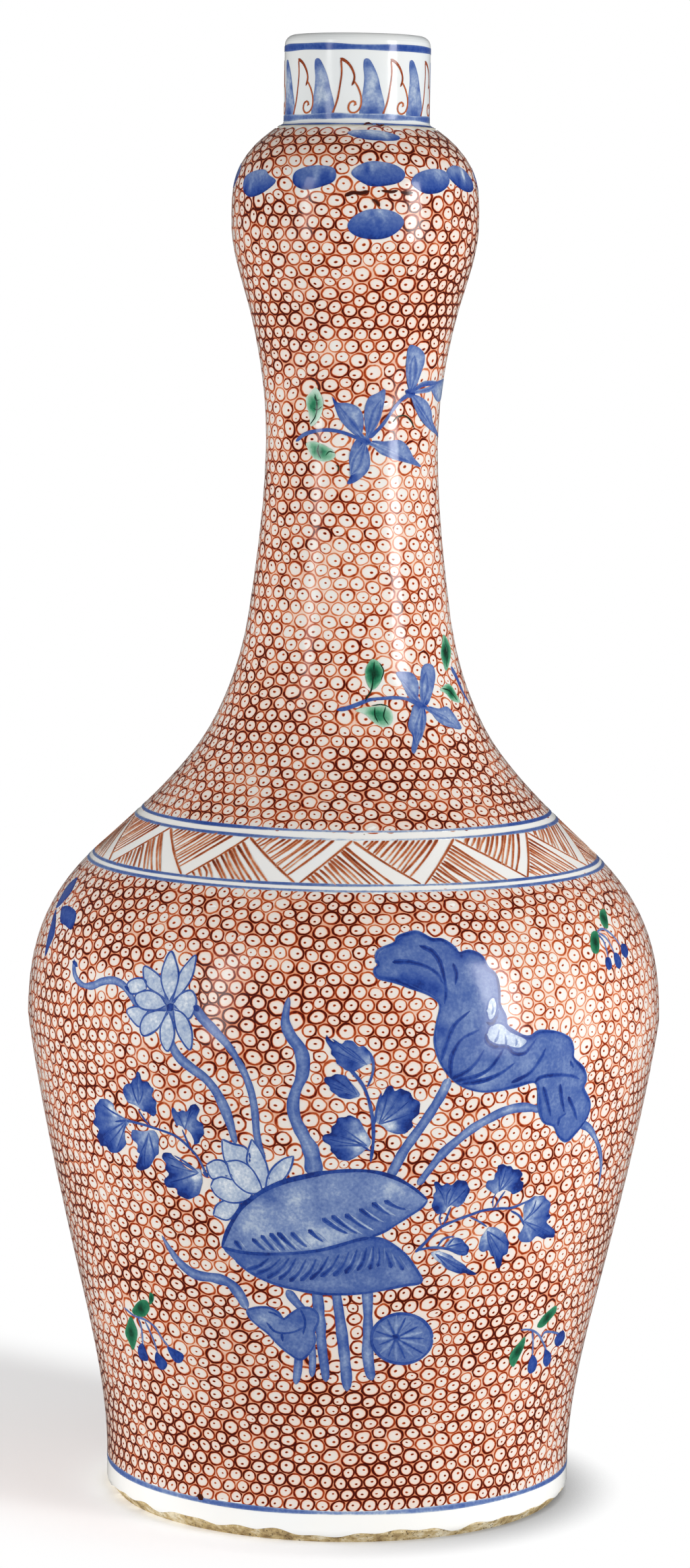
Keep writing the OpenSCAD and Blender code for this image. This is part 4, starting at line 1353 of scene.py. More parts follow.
def grow(mesh, tree, **sizes):
    """Runs a tree on a mesh and gives back a plain mesh."""
    holder = bpy.data.objects.new("growing", mesh)
    bpy.context.scene.collection.objects.link(holder)
    modifier = holder.modifiers.new("grow", "NODES")
    modifier.node_group = tree
    for socket in tree.interface.items_tree:
        if socket.in_out == "INPUT" and socket.name in sizes:
            modifier[socket.identifier] = sizes[socket.name]
    bpy.context.view_layer.update()
    ready = holder.evaluated_get(bpy.context.evaluated_depsgraph_get())
    made = bpy.data.meshes.new_from_object(ready, preserve_all_data_layers=True,
                                           depsgraph=bpy.context.evaluated_depsgraph_get())
    bpy.data.objects.remove(holder)
    return made


def store(tree, geometry, name, value, domain, kind="FLOAT"):
    given = {"Geometry": geometry, "Name": name, "Value": value}
    return put(tree, "GeometryNodeStoreNamedAttribute", given, data_type=kind, domain=domain).outputs[0]


print("tree helpers ready")

# %% The ring cell tree
RING_CHANCES = (("ring_shade", 0.0, 1.0), ("dot_right", -1.0, 1.0), ("dot_up", -1.0, 1.0))
DOT_STRAY, BLANK_ROOM, CELL_SEED = 0.18, 1000.0, 3


def ring_cell_tree():
    starting = {"Millimetre": MM, "Dot stray": DOT_STRAY, "Blank room": BLANK_ROOM, "Seed": CELL_SEED}
    tree, sizes = new_tree("ring_cells", starting | {"Material": None})
    cells = put(tree, "GeometryNodeDualMesh", {0: sizes["Geometry"]}).outputs[0]
    place = put(tree, "GeometryNodeInputPosition").outputs[0]
    facing = put(tree, "GeometryNodeInputNormal").outputs[0]
    blank = put(tree, "GeometryNodeInputNamedAttribute", {"Name": "ring_blank"}, data_type="FLOAT").outputs[0]
    middle, out = (
        put(tree, "GeometryNodeFieldOnDomain", {0: field}, data_type="FLOAT_VECTOR", domain="FACE").outputs[0]
        for field in (place, facing)
    )
    per_millimetre = calc(tree, "DIVIDE", 1.0, sizes["Millimetre"])
    away = scaled(tree, vector_calc(tree, "SUBTRACT", place, middle), per_millimetre)
    along = vector_calc(tree, "NORMALIZE", vector_calc(tree, "CROSS_PRODUCT", (0, 0, 1), out))
    upward = vector_calc(tree, "CROSS_PRODUCT", out, along)
    local = put(tree, "ShaderNodeCombineXYZ", {
        0: vector_calc(tree, "DOT_PRODUCT", away, along, out=1),
        1: vector_calc(tree, "DOT_PRODUCT", away, upward, out=1),
    }).outputs[0]
    area = put(tree, "GeometryNodeInputMeshFaceArea").outputs[0]
    room = calc(tree, "DIVIDE", calc(tree, "SQRT", calc(tree, "DIVIDE", area, math.pi)), sizes["Millimetre"])
    room = calc(tree, "MULTIPLY_ADD", blank, sizes["Blank room"], room)
    cells = store(tree, cells, "ring_local", local, "CORNER", "FLOAT2")
    cells = store(tree, cells, "ring_room", room, "FACE")
    for step, (name, low, high) in enumerate(RING_CHANCES):
        given = {2: low, 3: high, "Seed": calc(tree, "ADD", sizes["Seed"], float(step))}
        dice = put(tree, "FunctionNodeRandomValue", given, data_type="FLOAT").outputs[1]
        if name != "ring_shade":
            dice = calc(tree, "MULTIPLY", dice, sizes["Dot stray"])
            dice = calc(tree, "MULTIPLY_ADD", blank, sizes["Blank room"], dice)
        cells = store(tree, cells, name, dice, "FACE")
    close_tree(tree, cells, sizes["Material"])
    return tree


ring_cells = ring_cell_tree()
print("ring cell tree:", len(ring_cells.nodes), "nodes")

# %% [markdown]
# ## Roe ground: the paint
# The paint reads a cell's own coordinates, so each ring is drawn about its own middle at full sharpness.
# The coordinates are stretched to the oval that fits the cell, so one circle there is a tilted oval on the
# vase. Iron red is a stain: thin it is a pale pink, thicker orange, and thick a dark brown. So the paint
# adds up one density, from the line, a soft halo round it, a wash in the gaps and the dot, and one colour
# ramp reads it. Slow noise makes some stretches strong and others thin, as each brushful ran out. A few
# heavier and lighter brushfuls are listed, and a heavy one also tints the white between the lines. The
# lighter ones are painted highlight: they thin the lines and whiten the ground where the glaze shines, on
# the neck, the bulb, the shoulder and the right of the belly.
# A curve over the height gives the neck its thin lines and the bulb and the lower body their heavy ones.
# Beside a blank cell the halo and the wash in the gap fade out, so the white edge round a motif stays clean.

# %% Roe strengths and colours
ROE_STRENGTH = (
    (0.0, 0.84), (0.12, 0.74), (0.3, 0.58), (0.38, 0.54), (0.47, 0.7), (0.55, 0.52), (0.65, 0.42),
    (0.75, 0.44), (0.82, 0.64), (0.88, 0.74), (1.0, 0.8),
)
# Picture point, reach in millimetres and paint added; the lighter ones are painted highlight where the glaze
# shines
BRUSHFULS_AND_HIGHLIGHTS = [
    ((440, 560), 34, 0.3), ((430, 760), 36, 0.38), ((375, 1030), 24, 0.5), ((90, 1440), 32, 0.45),
    ((190, 1300), 26, 0.25), ((145, 2180), 42, 1.0), ((100, 1740), 30, 0.35), ((660, 450), 26, 0.5),
    ((830, 1440), 34, -0.4), ((460, 1440), 26, 0.4), ((555, 770), 24, -0.3), ((810, 2190), 26, -0.45),
    ((375, 1130), 18, -0.35), ((465, 395), 18, -0.3), ((375, 1310), 18, -0.3), ((345, 1500), 22, 0.3),
]
ROE_STAIN = (
    (0.0, "DDDBD6"), (0.2, "E3C7B6"), (0.4, "D69675"), (0.6, "BE663B"), (0.8, "9A3711"), (0.95, "6C1602"),
    (1.0, "440B01"),
)
LINE_DENSITY, HALO_DENSITY, GAP_DENSITY, TINT = (0.43, 0.45), (0.06, 0.1), (0.18, 0.07), (-0.03, 0.12)
LINE_REACH, LINE_CORE, HALO_WIDER = (0.126, 0.076), 0.22, 0.32
RING_REACH, RING_SPREAD, GAP_EDGE = 0.72, 0.06, (0.74, 0.95)
RING_WOBBLE, WOBBLE_DEPTH = 2.4 * MM, 0.24
DAB_SIZE, BRUSHFUL_SIZE = 1.7 * MM, 24 * MM
BRUSHFUL_GAIN, SHADE_GAIN, DAB_GAIN, SIDE_GAIN = 1.5, 0.4, 0.9, 2.2
DOT_REACH, DOT_SPREAD, DOT_EDGE, DOT_STRETCH = 0.1, 0.05, (-0.06, 0.07), (0.9, 1.15, 0.0)
DOT_DABS, DOT_DENSITY = (0.35, 0.6), (0.75, 0.95)
print("roe stain:", len(ROE_STAIN), "stops,", len(BRUSHFULS_AND_HIGHLIGHTS), "brushfuls placed by eye")

# %% The roe paint


def set_curve(node, points):
    """Gives a curve node its points."""
    line = node.mapping.curves[0]
    while len(line.points) < len(points):
        line.points.new(0.5, 0.5)
    for point, place in zip(line.points, points):
        point.location = place
    node.mapping.update()


def brush_load_and_highlight(tree, place):
    """Paint on the brush by height, noise and listed brushfuls; the lighter ones are painted highlight."""
    brushful = cloud(tree, BRUSHFUL_SIZE, 2.0, 0.6, place=place)
    height = put(tree, "ShaderNodeSeparateXYZ", {0: place}).outputs[2]
    field = put(tree, "ShaderNodeFloatCurve", {"Value": calc(tree, "DIVIDE", height, wall_z[-1])})
    set_curve(field, ROE_STRENGTH)
    load_and_highlight = calc(tree, "MULTIPLY_ADD", calc(tree, "SUBTRACT", brushful, 0.5), BRUSHFUL_GAIN, field.outputs[0])
    # Heavier brushfuls add paint; lighter ones take it away as painted highlight
    for spot, reach, more in BRUSHFULS_AND_HIGHLIGHTS:
        away = vector_calc(tree, "DISTANCE", place, on_wall(*wall_under([spot]))[0].tolist(), out=1)
        load_and_highlight = calc(tree, "ADD", load_and_highlight, ease(tree, away, 0.0, reach * MM, more, 0.0))
    return load_and_highlight


def roe_paint_material():
    made, tree, shader = glazed("roe_paint")
    place = object_place(tree)
    oval = put(tree, "ShaderNodeUVMap", uv_map="ring_oval").outputs[0]
    wobble = cloud(tree, RING_WOBBLE, 1.0, place=place, output="Color")
    wobble = vector_calc(tree, "SUBTRACT", wobble, (0.5, 0.5, 0.5))
    oval = vector_calc(tree, "ADD", oval, scaled(tree, wobble, WOBBLE_DEPTH))
    oval = vector_calc(tree, "MULTIPLY", oval, (1.0, 1.0, 0.0))
    dot_middle = {0: attribute(tree, "dot_right"), 1: attribute(tree, "dot_up")}
    stray = put(tree, "ShaderNodeCombineXYZ", dot_middle).outputs[0]
    shade = attribute(tree, "ring_shade")
    dabs = cloud(tree, DAB_SIZE, 2.0, 0.6, place=place)
    load_and_highlight = brush_load_and_highlight(tree, place)
    tint = calc(tree, "MULTIPLY_ADD", load_and_highlight, TINT[1], TINT[0], clamp=True)
    for chance, gain in ((shade, SHADE_GAIN), (dabs, DAB_GAIN)):
        load_and_highlight = calc(tree, "MULTIPLY_ADD", calc(tree, "SUBTRACT", chance, 0.5), gain, load_and_highlight)
    one_side = vector_calc(tree, "DOT_PRODUCT", oval, stray, out=1)
    load_and_highlight = calc(tree, "MULTIPLY_ADD", one_side, SIDE_GAIN, load_and_highlight, clamp=True)

    def by_load_and_highlight(start, gain):
        return calc(tree, "MULTIPLY_ADD", load_and_highlight, gain, start)

    reach = vector_calc(tree, "LENGTH", oval, out=1)
    ring_reach = calc(tree, "MULTIPLY_ADD", shade, RING_SPREAD, RING_REACH)
    off_line = calc(tree, "ABSOLUTE", calc(tree, "SUBTRACT", reach, ring_reach))
    thick = by_load_and_highlight(*LINE_REACH)
    line = ease(tree, off_line, calc(tree, "MULTIPLY", thick, LINE_CORE), thick, by_load_and_highlight(*LINE_DENSITY), 0.0)
    halo = ease(tree, off_line, 0.0, calc(tree, "ADD", thick, HALO_WIDER), by_load_and_highlight(*HALO_DENSITY), 0.0)
    gap = ease(tree, reach, *GAP_EDGE, 0.0, by_load_and_highlight(*GAP_DENSITY))
    closed_in = calc(tree, "SUBTRACT", 1.0, attribute(tree, "ring_open"))
    haze = calc(tree, "MULTIPLY", calc(tree, "ADD", halo, gap), closed_in)
    dash = vector_calc(tree, "MULTIPLY", vector_calc(tree, "SUBTRACT", oval, stray), DOT_STRETCH)
    dot_reach = calc(tree, "MULTIPLY_ADD", shade, DOT_SPREAD, DOT_REACH)
    off_dot = calc(tree, "SUBTRACT", vector_calc(tree, "LENGTH", dash, out=1), dot_reach)
    dot = ease(tree, off_dot, *DOT_EDGE, ease(tree, dabs, *DOT_DABS, *DOT_DENSITY), 0.0)
    density = calc(tree, "ADD", calc(tree, "ADD", line, haze), calc(tree, "ADD", dot, tint))
    tree.links.new(ramp(tree, density, *ROE_STAIN), shader.inputs["Base Color"])
    return made


roe_paint = roe_paint_material()
print("roe paint:", len(roe_paint.node_tree.nodes), "nodes")

# %% [markdown]
# ## Skins on the wall
# Coats of glaze and films of pigment are all made the same way: faces between places on the wall, closed with
# a back that bites into what lies below and with a rim. Their normals are the wall's own, so light runs on
# smoothly from one to the next, as it does over paint that lies under a glaze.
# The map OFBake unrolls a skin for the export, with its hidden faces in a strip below.

# %% Closed skins
COAT_LIFT, PLAIN_LIFT, COAT_BITE = 0.25 * MM, 0.2 * MM, -0.15 * MM
MAP_EDGE, HIDDEN_STRIP, PAINTED_FROM, PAINTED_SPAN = 0.012, 0.03, 0.045, 0.945


def corners_of(mesh):
    """The point at each face corner, and each face's first corner and its number of corners."""
    loops = np.empty(len(mesh.loops), int)
    mesh.loops.foreach_get("vertex_index", loops)
    starts, counts = np.empty((2, len(mesh.polygons)), int)
    mesh.polygons.foreach_get("loop_start", starts)
    mesh.polygons.foreach_get("loop_total", counts)
    return loops, starts, counts


def values_of(mesh, name, kind=np.float32):
    layer = mesh.attributes[name].data
    values = np.empty(len(layer), kind)
    layer.foreach_get("value", values)
    return values


def add_values(mesh, name, values, domain):
    mesh.attributes.new(name, "FLOAT", domain).data.foreach_set("value", np.asarray(values, np.float32))


def closed_skin(name, angle, height, top, lift, bite):
    """A closed mesh over the wall: the outer faces first, then their backs, then the rim."""
    size = len(angle)
    rim = rim_edges(top)
    shell = top + [[v + size for v in reversed(face)] for face in top]
    shell += [[b, a, a + size, b + size] for a, b in rim]
    mesh = bpy.data.meshes.new(name)
    points = np.concatenate([on_wall(angle, height, lift), on_wall(angle, height, bite)])
    mesh.from_pydata(points.tolist(), [], shell)
    add_values(mesh, "outside", np.repeat([1, 0], size), "POINT")
    return mesh


def finish_skin(mesh):
    """Gives a skin the wall's smooth normals and its map for the export."""
    points, outside = points_of(mesh), values_of(mesh, "outside") > 0.5
    angle = np.arctan2(points[:, 1], points[:, 0])
    mesh.polygons.foreach_set("use_smooth", [True] * len(mesh.polygons))
    mesh.normals_split_custom_set_from_vertices(outward_at(angle, points[:, 2]).tolist())
    loops, starts, counts = corners_of(mesh)
    face = np.repeat(np.arange(len(starts)), counts)
    middle = math.atan2(np.sin(angle).mean(), np.cos(angle).mean())
    ring = ((angle - middle + math.pi) % FULL_TURN)[loops]
    split = np.maximum.reduceat(ring, starts) - np.minimum.reduceat(ring, starts) > math.pi
    ring += FULL_TURN * (split[face] & (ring < math.pi))
    painted = np.minimum.reduceat(outside[loops].astype(int), starts)[face]
    run = run_at(points[:, 2])[loops]
    across = (ring - ring.min()) / (ring.max() - ring.min())
    upward = (run - run.min()) / max(run.max() - run.min(), 1e-6)
    upward = np.where(painted, PAINTED_FROM + PAINTED_SPAN * upward, HIDDEN_STRIP * upward)
    flat = np.stack([MAP_EDGE + (1 - 2 * MAP_EDGE) * across, upward], 1)
    mesh.uv_layers.new(name="OFBake").data.foreach_set("uv", flat.ravel())
    return mesh


print("a coat is", round((COAT_LIFT - COAT_BITE) / MM, 2), "mm thick, most of it in the wall")

# %% [markdown]
# ## Roe ground: coats for the sections
# Each section carries its own coat of painted glaze, a closed skin a few tenths of a millimetre thick that
# bites into the CAD wall. The coats meet along the edges of whole rings, so no seam cuts the painting.

# %% Cells of the rings


def ring_mesh(rings):
    """The cells of one field of rings, from the net between their middles."""
    angle, height, blank, net = rings
    mesh = bpy.data.meshes.new("ring_net")
    points = on_wall(angle, height)
    a, b, c = points[net[:, 0]], points[net[:, 1]], points[net[:, 2]]
    facing = np.einsum("ij,ij->i", np.cross(b - a, c - a), a * (1, 1, 0))
    net = np.where((facing < 0)[:, None], net[:, ::-1], net)
    mesh.from_pydata(points.tolist(), [], net.tolist())
    add_values(mesh, "ring_blank", blank, "POINT")
    return grow(mesh, ring_cells, Seed=CELL_SEED, Material=roe_paint)


def points_of_middles(cells):
    middles = np.empty(len(cells.polygons) * 3)
    cells.polygons.foreach_get("center", middles)
    return middles.reshape(-1, 3)


def to_ovals(local, starts, counts):
    """Scales and turns each cell's coordinates so that the oval that fits its corners becomes a circle."""
    x, y = local.T
    xx, xy, yy = (np.add.reduceat(product, starts) * 2 / counts for product in (x * x, x * y, y * y))
    root = np.sqrt(xx * yy - xy * xy)
    scale = root * np.sqrt(xx + yy + 2 * root)
    cell = np.repeat(np.arange(len(starts)), counts)
    first = ((yy + root) / scale)[cell] * x - (xy / scale)[cell] * y
    second = ((xx + root) / scale)[cell] * y - (xy / scale)[cell] * x
    return np.stack([first, second], 1)


body_cells, head_cells = ring_mesh(body_rings), ring_mesh(head_rings)
body_z, head_z = points_of_middles(body_cells)[:, 2], points_of_middles(head_cells)[:, 2]
print("cells:", len(body_z), "on the body,", len(head_z), "on the neck and bulb")

# %% Lay the coats


def coat_piece(name, cells, chosen):
    """A closed coat from the chosen cells of a ring mesh, with what the paint reads on each cell."""
    loops, starts, counts = corners_of(cells)
    local = np.empty(len(cells.loops) * 2)
    cells.attributes["ring_local"].data.foreach_get("vector", local)
    blank = np.repeat(values_of(cells, "ring_room") > BLANK_ROOM / 2, counts)
    is_open = np.zeros(len(cells.vertices))
    is_open[loops[blank]] = 1
    is_open[np.ravel(rim_edges([loops[a : a + n].tolist() for a, n in zip(starts, counts)]))] = 1
    ovals = np.where(blank[:, None], 0, to_ovals(local.reshape(-1, 2), starts, counts))
    rows = np.concatenate([np.arange(starts[f], starts[f] + counts[f]) for f in chosen])
    used, compact = np.unique(loops[rows], return_inverse=True)
    bounds = np.concatenate([[0], np.cumsum(counts[chosen])])
    top = [compact[a:b].tolist() for a, b in zip(bounds[:-1], bounds[1:])]
    places = points_of(cells)[used]
    mesh = closed_skin(name, np.arctan2(places[:, 1], places[:, 0]), places[:, 2], top, COAT_LIFT, COAT_BITE)
    flat = np.zeros((len(mesh.loops), 2))
    flat[: len(rows)] = ovals[rows]
    mesh.uv_layers.new(name="ring_oval").data.foreach_set("uv", flat.ravel())
    add_values(mesh, "ring_open", np.append(is_open[used], np.ones(len(used))), "POINT")
    hidden = len(mesh.polygons) - len(top)
    for label, _, _ in RING_CHANCES:
        values = np.append(values_of(cells, label)[chosen], np.full(hidden, BLANK_ROOM))
        add_values(mesh, label, values, "FACE")
    mesh.materials.append(roe_paint)
    return link(name, finish_skin(mesh))


BELLY_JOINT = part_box("upper_body")[0][2]
NECK_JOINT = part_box("neck")[0][2]
WAIST_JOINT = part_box("garlic_bulb")[0][2]
coats = {
    "coat_lower_body": (body_cells, body_z < BELLY_JOINT),
    "coat_belly_top": (body_cells, body_z >= BELLY_JOINT),
    "coat_shoulder": (head_cells, head_z < NECK_JOINT),
    "coat_neck": (head_cells, (head_z >= NECK_JOINT) & (head_z < WAIST_JOINT)),
    "coat_bulb": (head_cells, head_z >= WAIST_JOINT),
}
painted_pieces = [coat_piece(name, cells, np.flatnonzero(rows)) for name, (cells, rows) in coats.items()]
print("coats:", {piece.name: len(piece.data.polygons) for piece in painted_pieces})

# %% [markdown]
# ## Pigments
# Cobalt blue goes from a watery grey-blue to a deep dark blue where the brush paused. Copper green goes from
# pale to bottle green, with dark hair lines. Iron red goes from thin orange to dark brown.
# Each pigment is one colour ramp over its films' tone, broken by the brush and by grain in the glaze.

# %% Pigment materials
BRUSH_PATCH, PIGMENT_GRAIN, GRAIN_SHARE = 5 * MM, 0.9 * MM, 0.8
COBALT = (
    (0.0, "DFE2E5"), (0.14, "ADBACC"), (0.34, "7589B2"), (0.55, "4C649D"),
    (0.72, "355094"), (0.88, "1F3D88"), (1.0, "15296C"),
)
COPPER = ((0.0, "B9D0C0"), (0.3, "77AB8D"), (0.55, "33805C"), (0.8, "11553A"), (1.0, "0C2A1C"))
IRON = ((0.0, "E6DED4"), (0.25, "DDAA8B"), (0.5, "B9683F"), (0.75, "8E3F20"), (1.0, "3A150C"))


def pigment(name, stops, uneven):
    made, tree, shader = glazed(name)
    brush = calc(tree, "SUBTRACT", cloud(tree, BRUSH_PATCH, 3.0, 0.6), 0.5)
    grain = calc(tree, "SUBTRACT", cloud(tree, PIGMENT_GRAIN, 2.0), 0.5)
    tone = calc(tree, "MULTIPLY_ADD", brush, uneven, attribute(tree, "tone"))
    tone = calc(tree, "MULTIPLY_ADD", grain, uneven * GRAIN_SHARE, tone)
    tree.links.new(ramp(tree, tone, *stops), shader.inputs["Base Color"])
    return made


cobalt_blue = pigment("cobalt_blue", COBALT, 0.46)
copper_green = pigment("copper_green", COPPER, 0.3)
iron_red = pigment("iron_red", IRON, 0.4)
print("pigments:", [made.name for made in (cobalt_blue, copper_green, iron_red)])

# %% Lay the films
FILM_LIFT, LEVEL_RISE, FILM_BITE = 0.28 * MM, 0.03 * MM, -0.05 * MM


def film_mesh(name, films):
    """One closed mesh from the films of a sheet."""
    starts = np.cumsum([0] + [len(film[0]) for film in films])
    faces = [[v + start for v in face] for start, film in zip(starts, films) for face in film[2]]
    spots = np.concatenate([film[0] for film in films])
    levels = np.concatenate([np.full(len(film[0]), film[3]) for film in films])
    lift = FILM_LIFT + LEVEL_RISE * levels
    mesh = closed_skin(name, spots[:, 0], height_of(spots[:, 1]), faces, lift, FILM_BITE)
    add_values(mesh, "tone", np.tile(np.concatenate([film[1] for film in films]), 2), "POINT")
    return mesh


def film_piece(name, films, material):
    mesh = film_mesh(name, films)
    mesh.materials.append(material)
    return link(name, finish_skin(mesh))


FILMS = (
    ("pond_washes", pond_washes, cobalt_blue), ("pond_lines", pond_lines, cobalt_blue),
    ("far_pond_washes", far_washes, cobalt_blue), ("far_pond_lines", far_lines, cobalt_blue),
    ("berry_sprigs", sprig_blue, cobalt_blue), ("sprig_leaves", sprig_green, copper_green),
    ("neck_flowers", neck_blue, cobalt_blue), ("neck_leaves", neck_green, copper_green),
    ("neck_leaf_hairs", neck_green_lines, copper_green), ("bulb_dots", bulb_blue, cobalt_blue),
    ("kiln_marks", kiln_marks, iron_red),
)
painted_pieces += [film_piece(*film) for film in FILMS]
print("films:", {piece.name: len(piece.data.polygons) for piece in painted_pieces[-len(FILMS) :]})

# %% [markdown]
# ## Bands, lines and what repeats round the vase
# Level lines were drawn with the vase turning on a wheel, so they close on themselves and only waver a
# little. The brush was filled again on the way, so a line has dark stretches and thin ones.
# The lappets on the collar repeat. One of each kind is drawn, and Geometry Nodes sets it round the axis.

# %% Level lines and the tree that repeats
LINE_PARTS = 300
EDGE_THINNING = 0.25
DARK_STRETCH = FRONT - math.radians(50)


def ring_faces(rows, parts):
    """Faces between closed rows of points round the vase."""
    corner = np.arange(rows * parts).reshape(rows, parts)
    after = np.roll(corner, -1, 1)
    return np.stack([corner[:-1], after[:-1], after[1:], corner[1:]], -1).reshape(-1, 4).tolist()


def level_line(sheet, z, width, tone, level=1.0, waver=0.12, fading=0.06):
    """A line right round the vase at one height, its width in millimetres. It fades and thins three times."""
    angle = np.linspace(0, FULL_TURN, LINE_PARTS, endpoint=False)
    phase = hand.uniform(0, FULL_TURN, 6)
    sway = sum(np.sin(k * angle + phase[k]) / k for k in (2, 3, 5))
    loaded = fading * np.cos(3 * (angle - DARK_STRETCH))
    swell = 1 + loaded + 0.08 * sum(np.sin(k * angle + phase[k - 3]) for k in (4, 7, 8))
    middle = turn_at(z) + waver * sway * MM / radius_at(z)
    half = width * swell / 2 * MM / radius_at(z)
    rows = [np.stack([angle, middle + side * half], 1) for side in (-1, -0.4, 0.4, 1)]
    fade = tone + loaded + 0.04 * sum(np.sin(k * angle + phase[k - 3]) for k in (5, 7, 8))
    tones = np.concatenate([fade - EDGE_THINNING, fade, fade, fade - EDGE_THINNING])
    sheet.append((np.concatenate(rows), tones, ring_faces(len(rows), LINE_PARTS), level))


def round_tree():
    tree, sizes = new_tree("round_the_vase", {"Count": 8, "Full turn": FULL_TURN, "Material": None})
    places = put(tree, "GeometryNodePoints", {"Count": sizes["Count"]}).outputs[0]
    number = put(tree, "GeometryNodeInputIndex").outputs[0]
    turn = calc(tree, "MULTIPLY", number, calc(tree, "DIVIDE", sizes["Full turn"], sizes["Count"]))
    spin = put(tree, "ShaderNodeCombineXYZ", {2: turn}).outputs[0]
    copies = put(tree, "GeometryNodeInstanceOnPoints", {"Points": places, "Instance": sizes["Geometry"],
                                                        "Rotation": spin}).outputs[0]
    close_tree(tree, copies, sizes["Material"])
    return tree


round_the_vase = round_tree()


def repeated_piece(name, films, material, count):
    mesh = grow(film_mesh(name, films), round_the_vase, Count=count, Material=material)
    return link(name, finish_skin(mesh))


print("round tree:", len(round_the_vase.nodes), "nodes")

# %% [markdown]
# ## The shoulder band
# Between two pairs of blue lines runs a white zigzag ribbon with thin red edges. The triangles it leaves
# are hatched, each row of strokes parallel to its triangle's right side, dark where the brush landed and
# thin where it left. Every triangle is drawn by itself, as the painter did. The white is a skin of its own
# under the lines.

# %% Strokes of the band
BAND_LINES = [(520, 1235), (520, 1247), (520, 1315), (520, 1324)]
BAND_START = (440, 1310)
BAND_REPEATS, BAND_STROKES = 13, 12
BAND_TONES, BAND_FADING = (0.5, 0.4, 0.52, 0.44), (0.26, 0.24, 0.1, 0.16)
BAND_OVERLAP, BAND_ROWS = 5 * MM, 14
BAND_LEVEL, LEVEL_STEP, LEVELS = 1.0, 0.1, 7
BOW_SLIP, SHARE_SLIP, END_SLIP = 0.008, 0.08, 0.01
HATCH_WIDTH, HATCH_THINNING = (0.75, 1.05), (1, 0.85, 0.7)
HATCH_TONE, HATCH_FADING = (0.66, 0.92), (0, 0.14, 0.22)
band_heights = wall_under(BAND_LINES)[1]
band_start = wall_under([BAND_START])[0][0]


def ring_skin(name, heights, material, lift, bite, parts=240):
    """A closed band of plain skin; heights are rows of one height or of one height for each part."""
    angle = np.linspace(0, FULL_TURN, parts, endpoint=False)
    rows = [np.broadcast_to(height, parts) for height in heights]
    faces = ring_faces(len(rows), parts)
    mesh = closed_skin(name, np.tile(angle, len(rows)), np.concatenate(rows), faces, lift, bite)
    mesh.materials.append(material)
    return link(name, finish_skin(mesh))


band_red, band_blue = [], []
low_turn, high_turn = turn_at(band_heights[[2, 1]])


def band_spot(u, v):
    """A place in the band: u in repeats from the front triangle, v from 0 at the lower inner line to 1."""
    return band_start + u * FULL_TURN / BAND_REPEATS, low_turn + v * (high_turn - low_turn)


def band_stroke(begin, end, start, width, tone):
    begin, end = np.array(begin), np.array(end)
    bow = (begin + end) / 2 + hand.normal(0, BOW_SLIP, 2)
    points = [band_spot(u + start, v) for u, v in (begin, bow, end)]
    level = BAND_LEVEL + LEVEL_STEP * (len(band_red) % LEVELS)
    stroke(band_red, points, width, tone, level, taper=1.0, rails=SOFT_DARK)


def hatch(begin_side, end_side, start):
    """Strokes from places along one side of a triangle to places along another."""
    (first, last), (first_end, last_end) = np.array(begin_side), np.array(end_side)
    for number in range(BAND_STROKES):
        share = (number + 0.5 + hand.normal(0, SHARE_SLIP)) / BAND_STROKES
        begin = first + (last - first) * share + hand.normal(0, BOW_SLIP, 2)
        end = first_end + (last_end - first_end) * share + hand.normal(0, END_SLIP, 2)
        heavy = hand.uniform(*HATCH_WIDTH)
        dark = hand.uniform(*HATCH_TONE)
        widths = [heavy * part for part in HATCH_THINNING]
        band_stroke(begin, end, start, widths, [dark - less for less in HATCH_FADING])


print("band:", BAND_REPEATS, "repeats, each with", 2 * BAND_STROKES, "hatch strokes")

# %% Paint the band
REPEAT_SLIP = 0.015
ZIGZAG_SIDES = [
    ((0.0, 0.0), (0.43, 0.98), [0.6, 0.75, 0.9], 0.74),
    ((0.44, 0.96), (0.97, 0.02), [0.9, 0.75, 0.7], 0.74),
    ((1.26, 1.0), (0.89, 0.16), [1.1, 0.8, 0.6], [0.95, 0.76, 0.66]),
]
HATCHED_SIDES = [
    (((0.05, 0.1), (0.39, 0.87)), ((0.09, 0.0), (0.78, 0.0))),
    (((0.54, 1.0), (1.22, 1.0)), ((0.5, 0.89), (0.87, 0.19))),
]
for unit in range(BAND_REPEATS):
    shift = unit + hand.normal(0, REPEAT_SLIP)
    for begin, end, width, tone in ZIGZAG_SIDES:
        band_stroke(begin, end, shift, width, tone)
    for begin_side, end_side in HATCHED_SIDES:
        hatch(begin_side, end_side, shift)
for z, tone, fading in zip(band_heights, BAND_TONES, BAND_FADING):
    level_line(band_blue, z, 0.95, tone, 1.6, 0.06, fading)
white_rows = np.linspace(BAND_LOW - BAND_OVERLAP, BAND_HIGH + BAND_OVERLAP, BAND_ROWS)
painted_pieces += [
    ring_skin("band_white", white_rows, white_glaze, PLAIN_LIFT, COAT_BITE),
    film_piece("band_lines", band_blue, cobalt_blue),
    film_piece("band_zigzag", band_red, iron_red),
]
print("band from", band_heights[3].round(4), "to", band_heights[0].round(4))
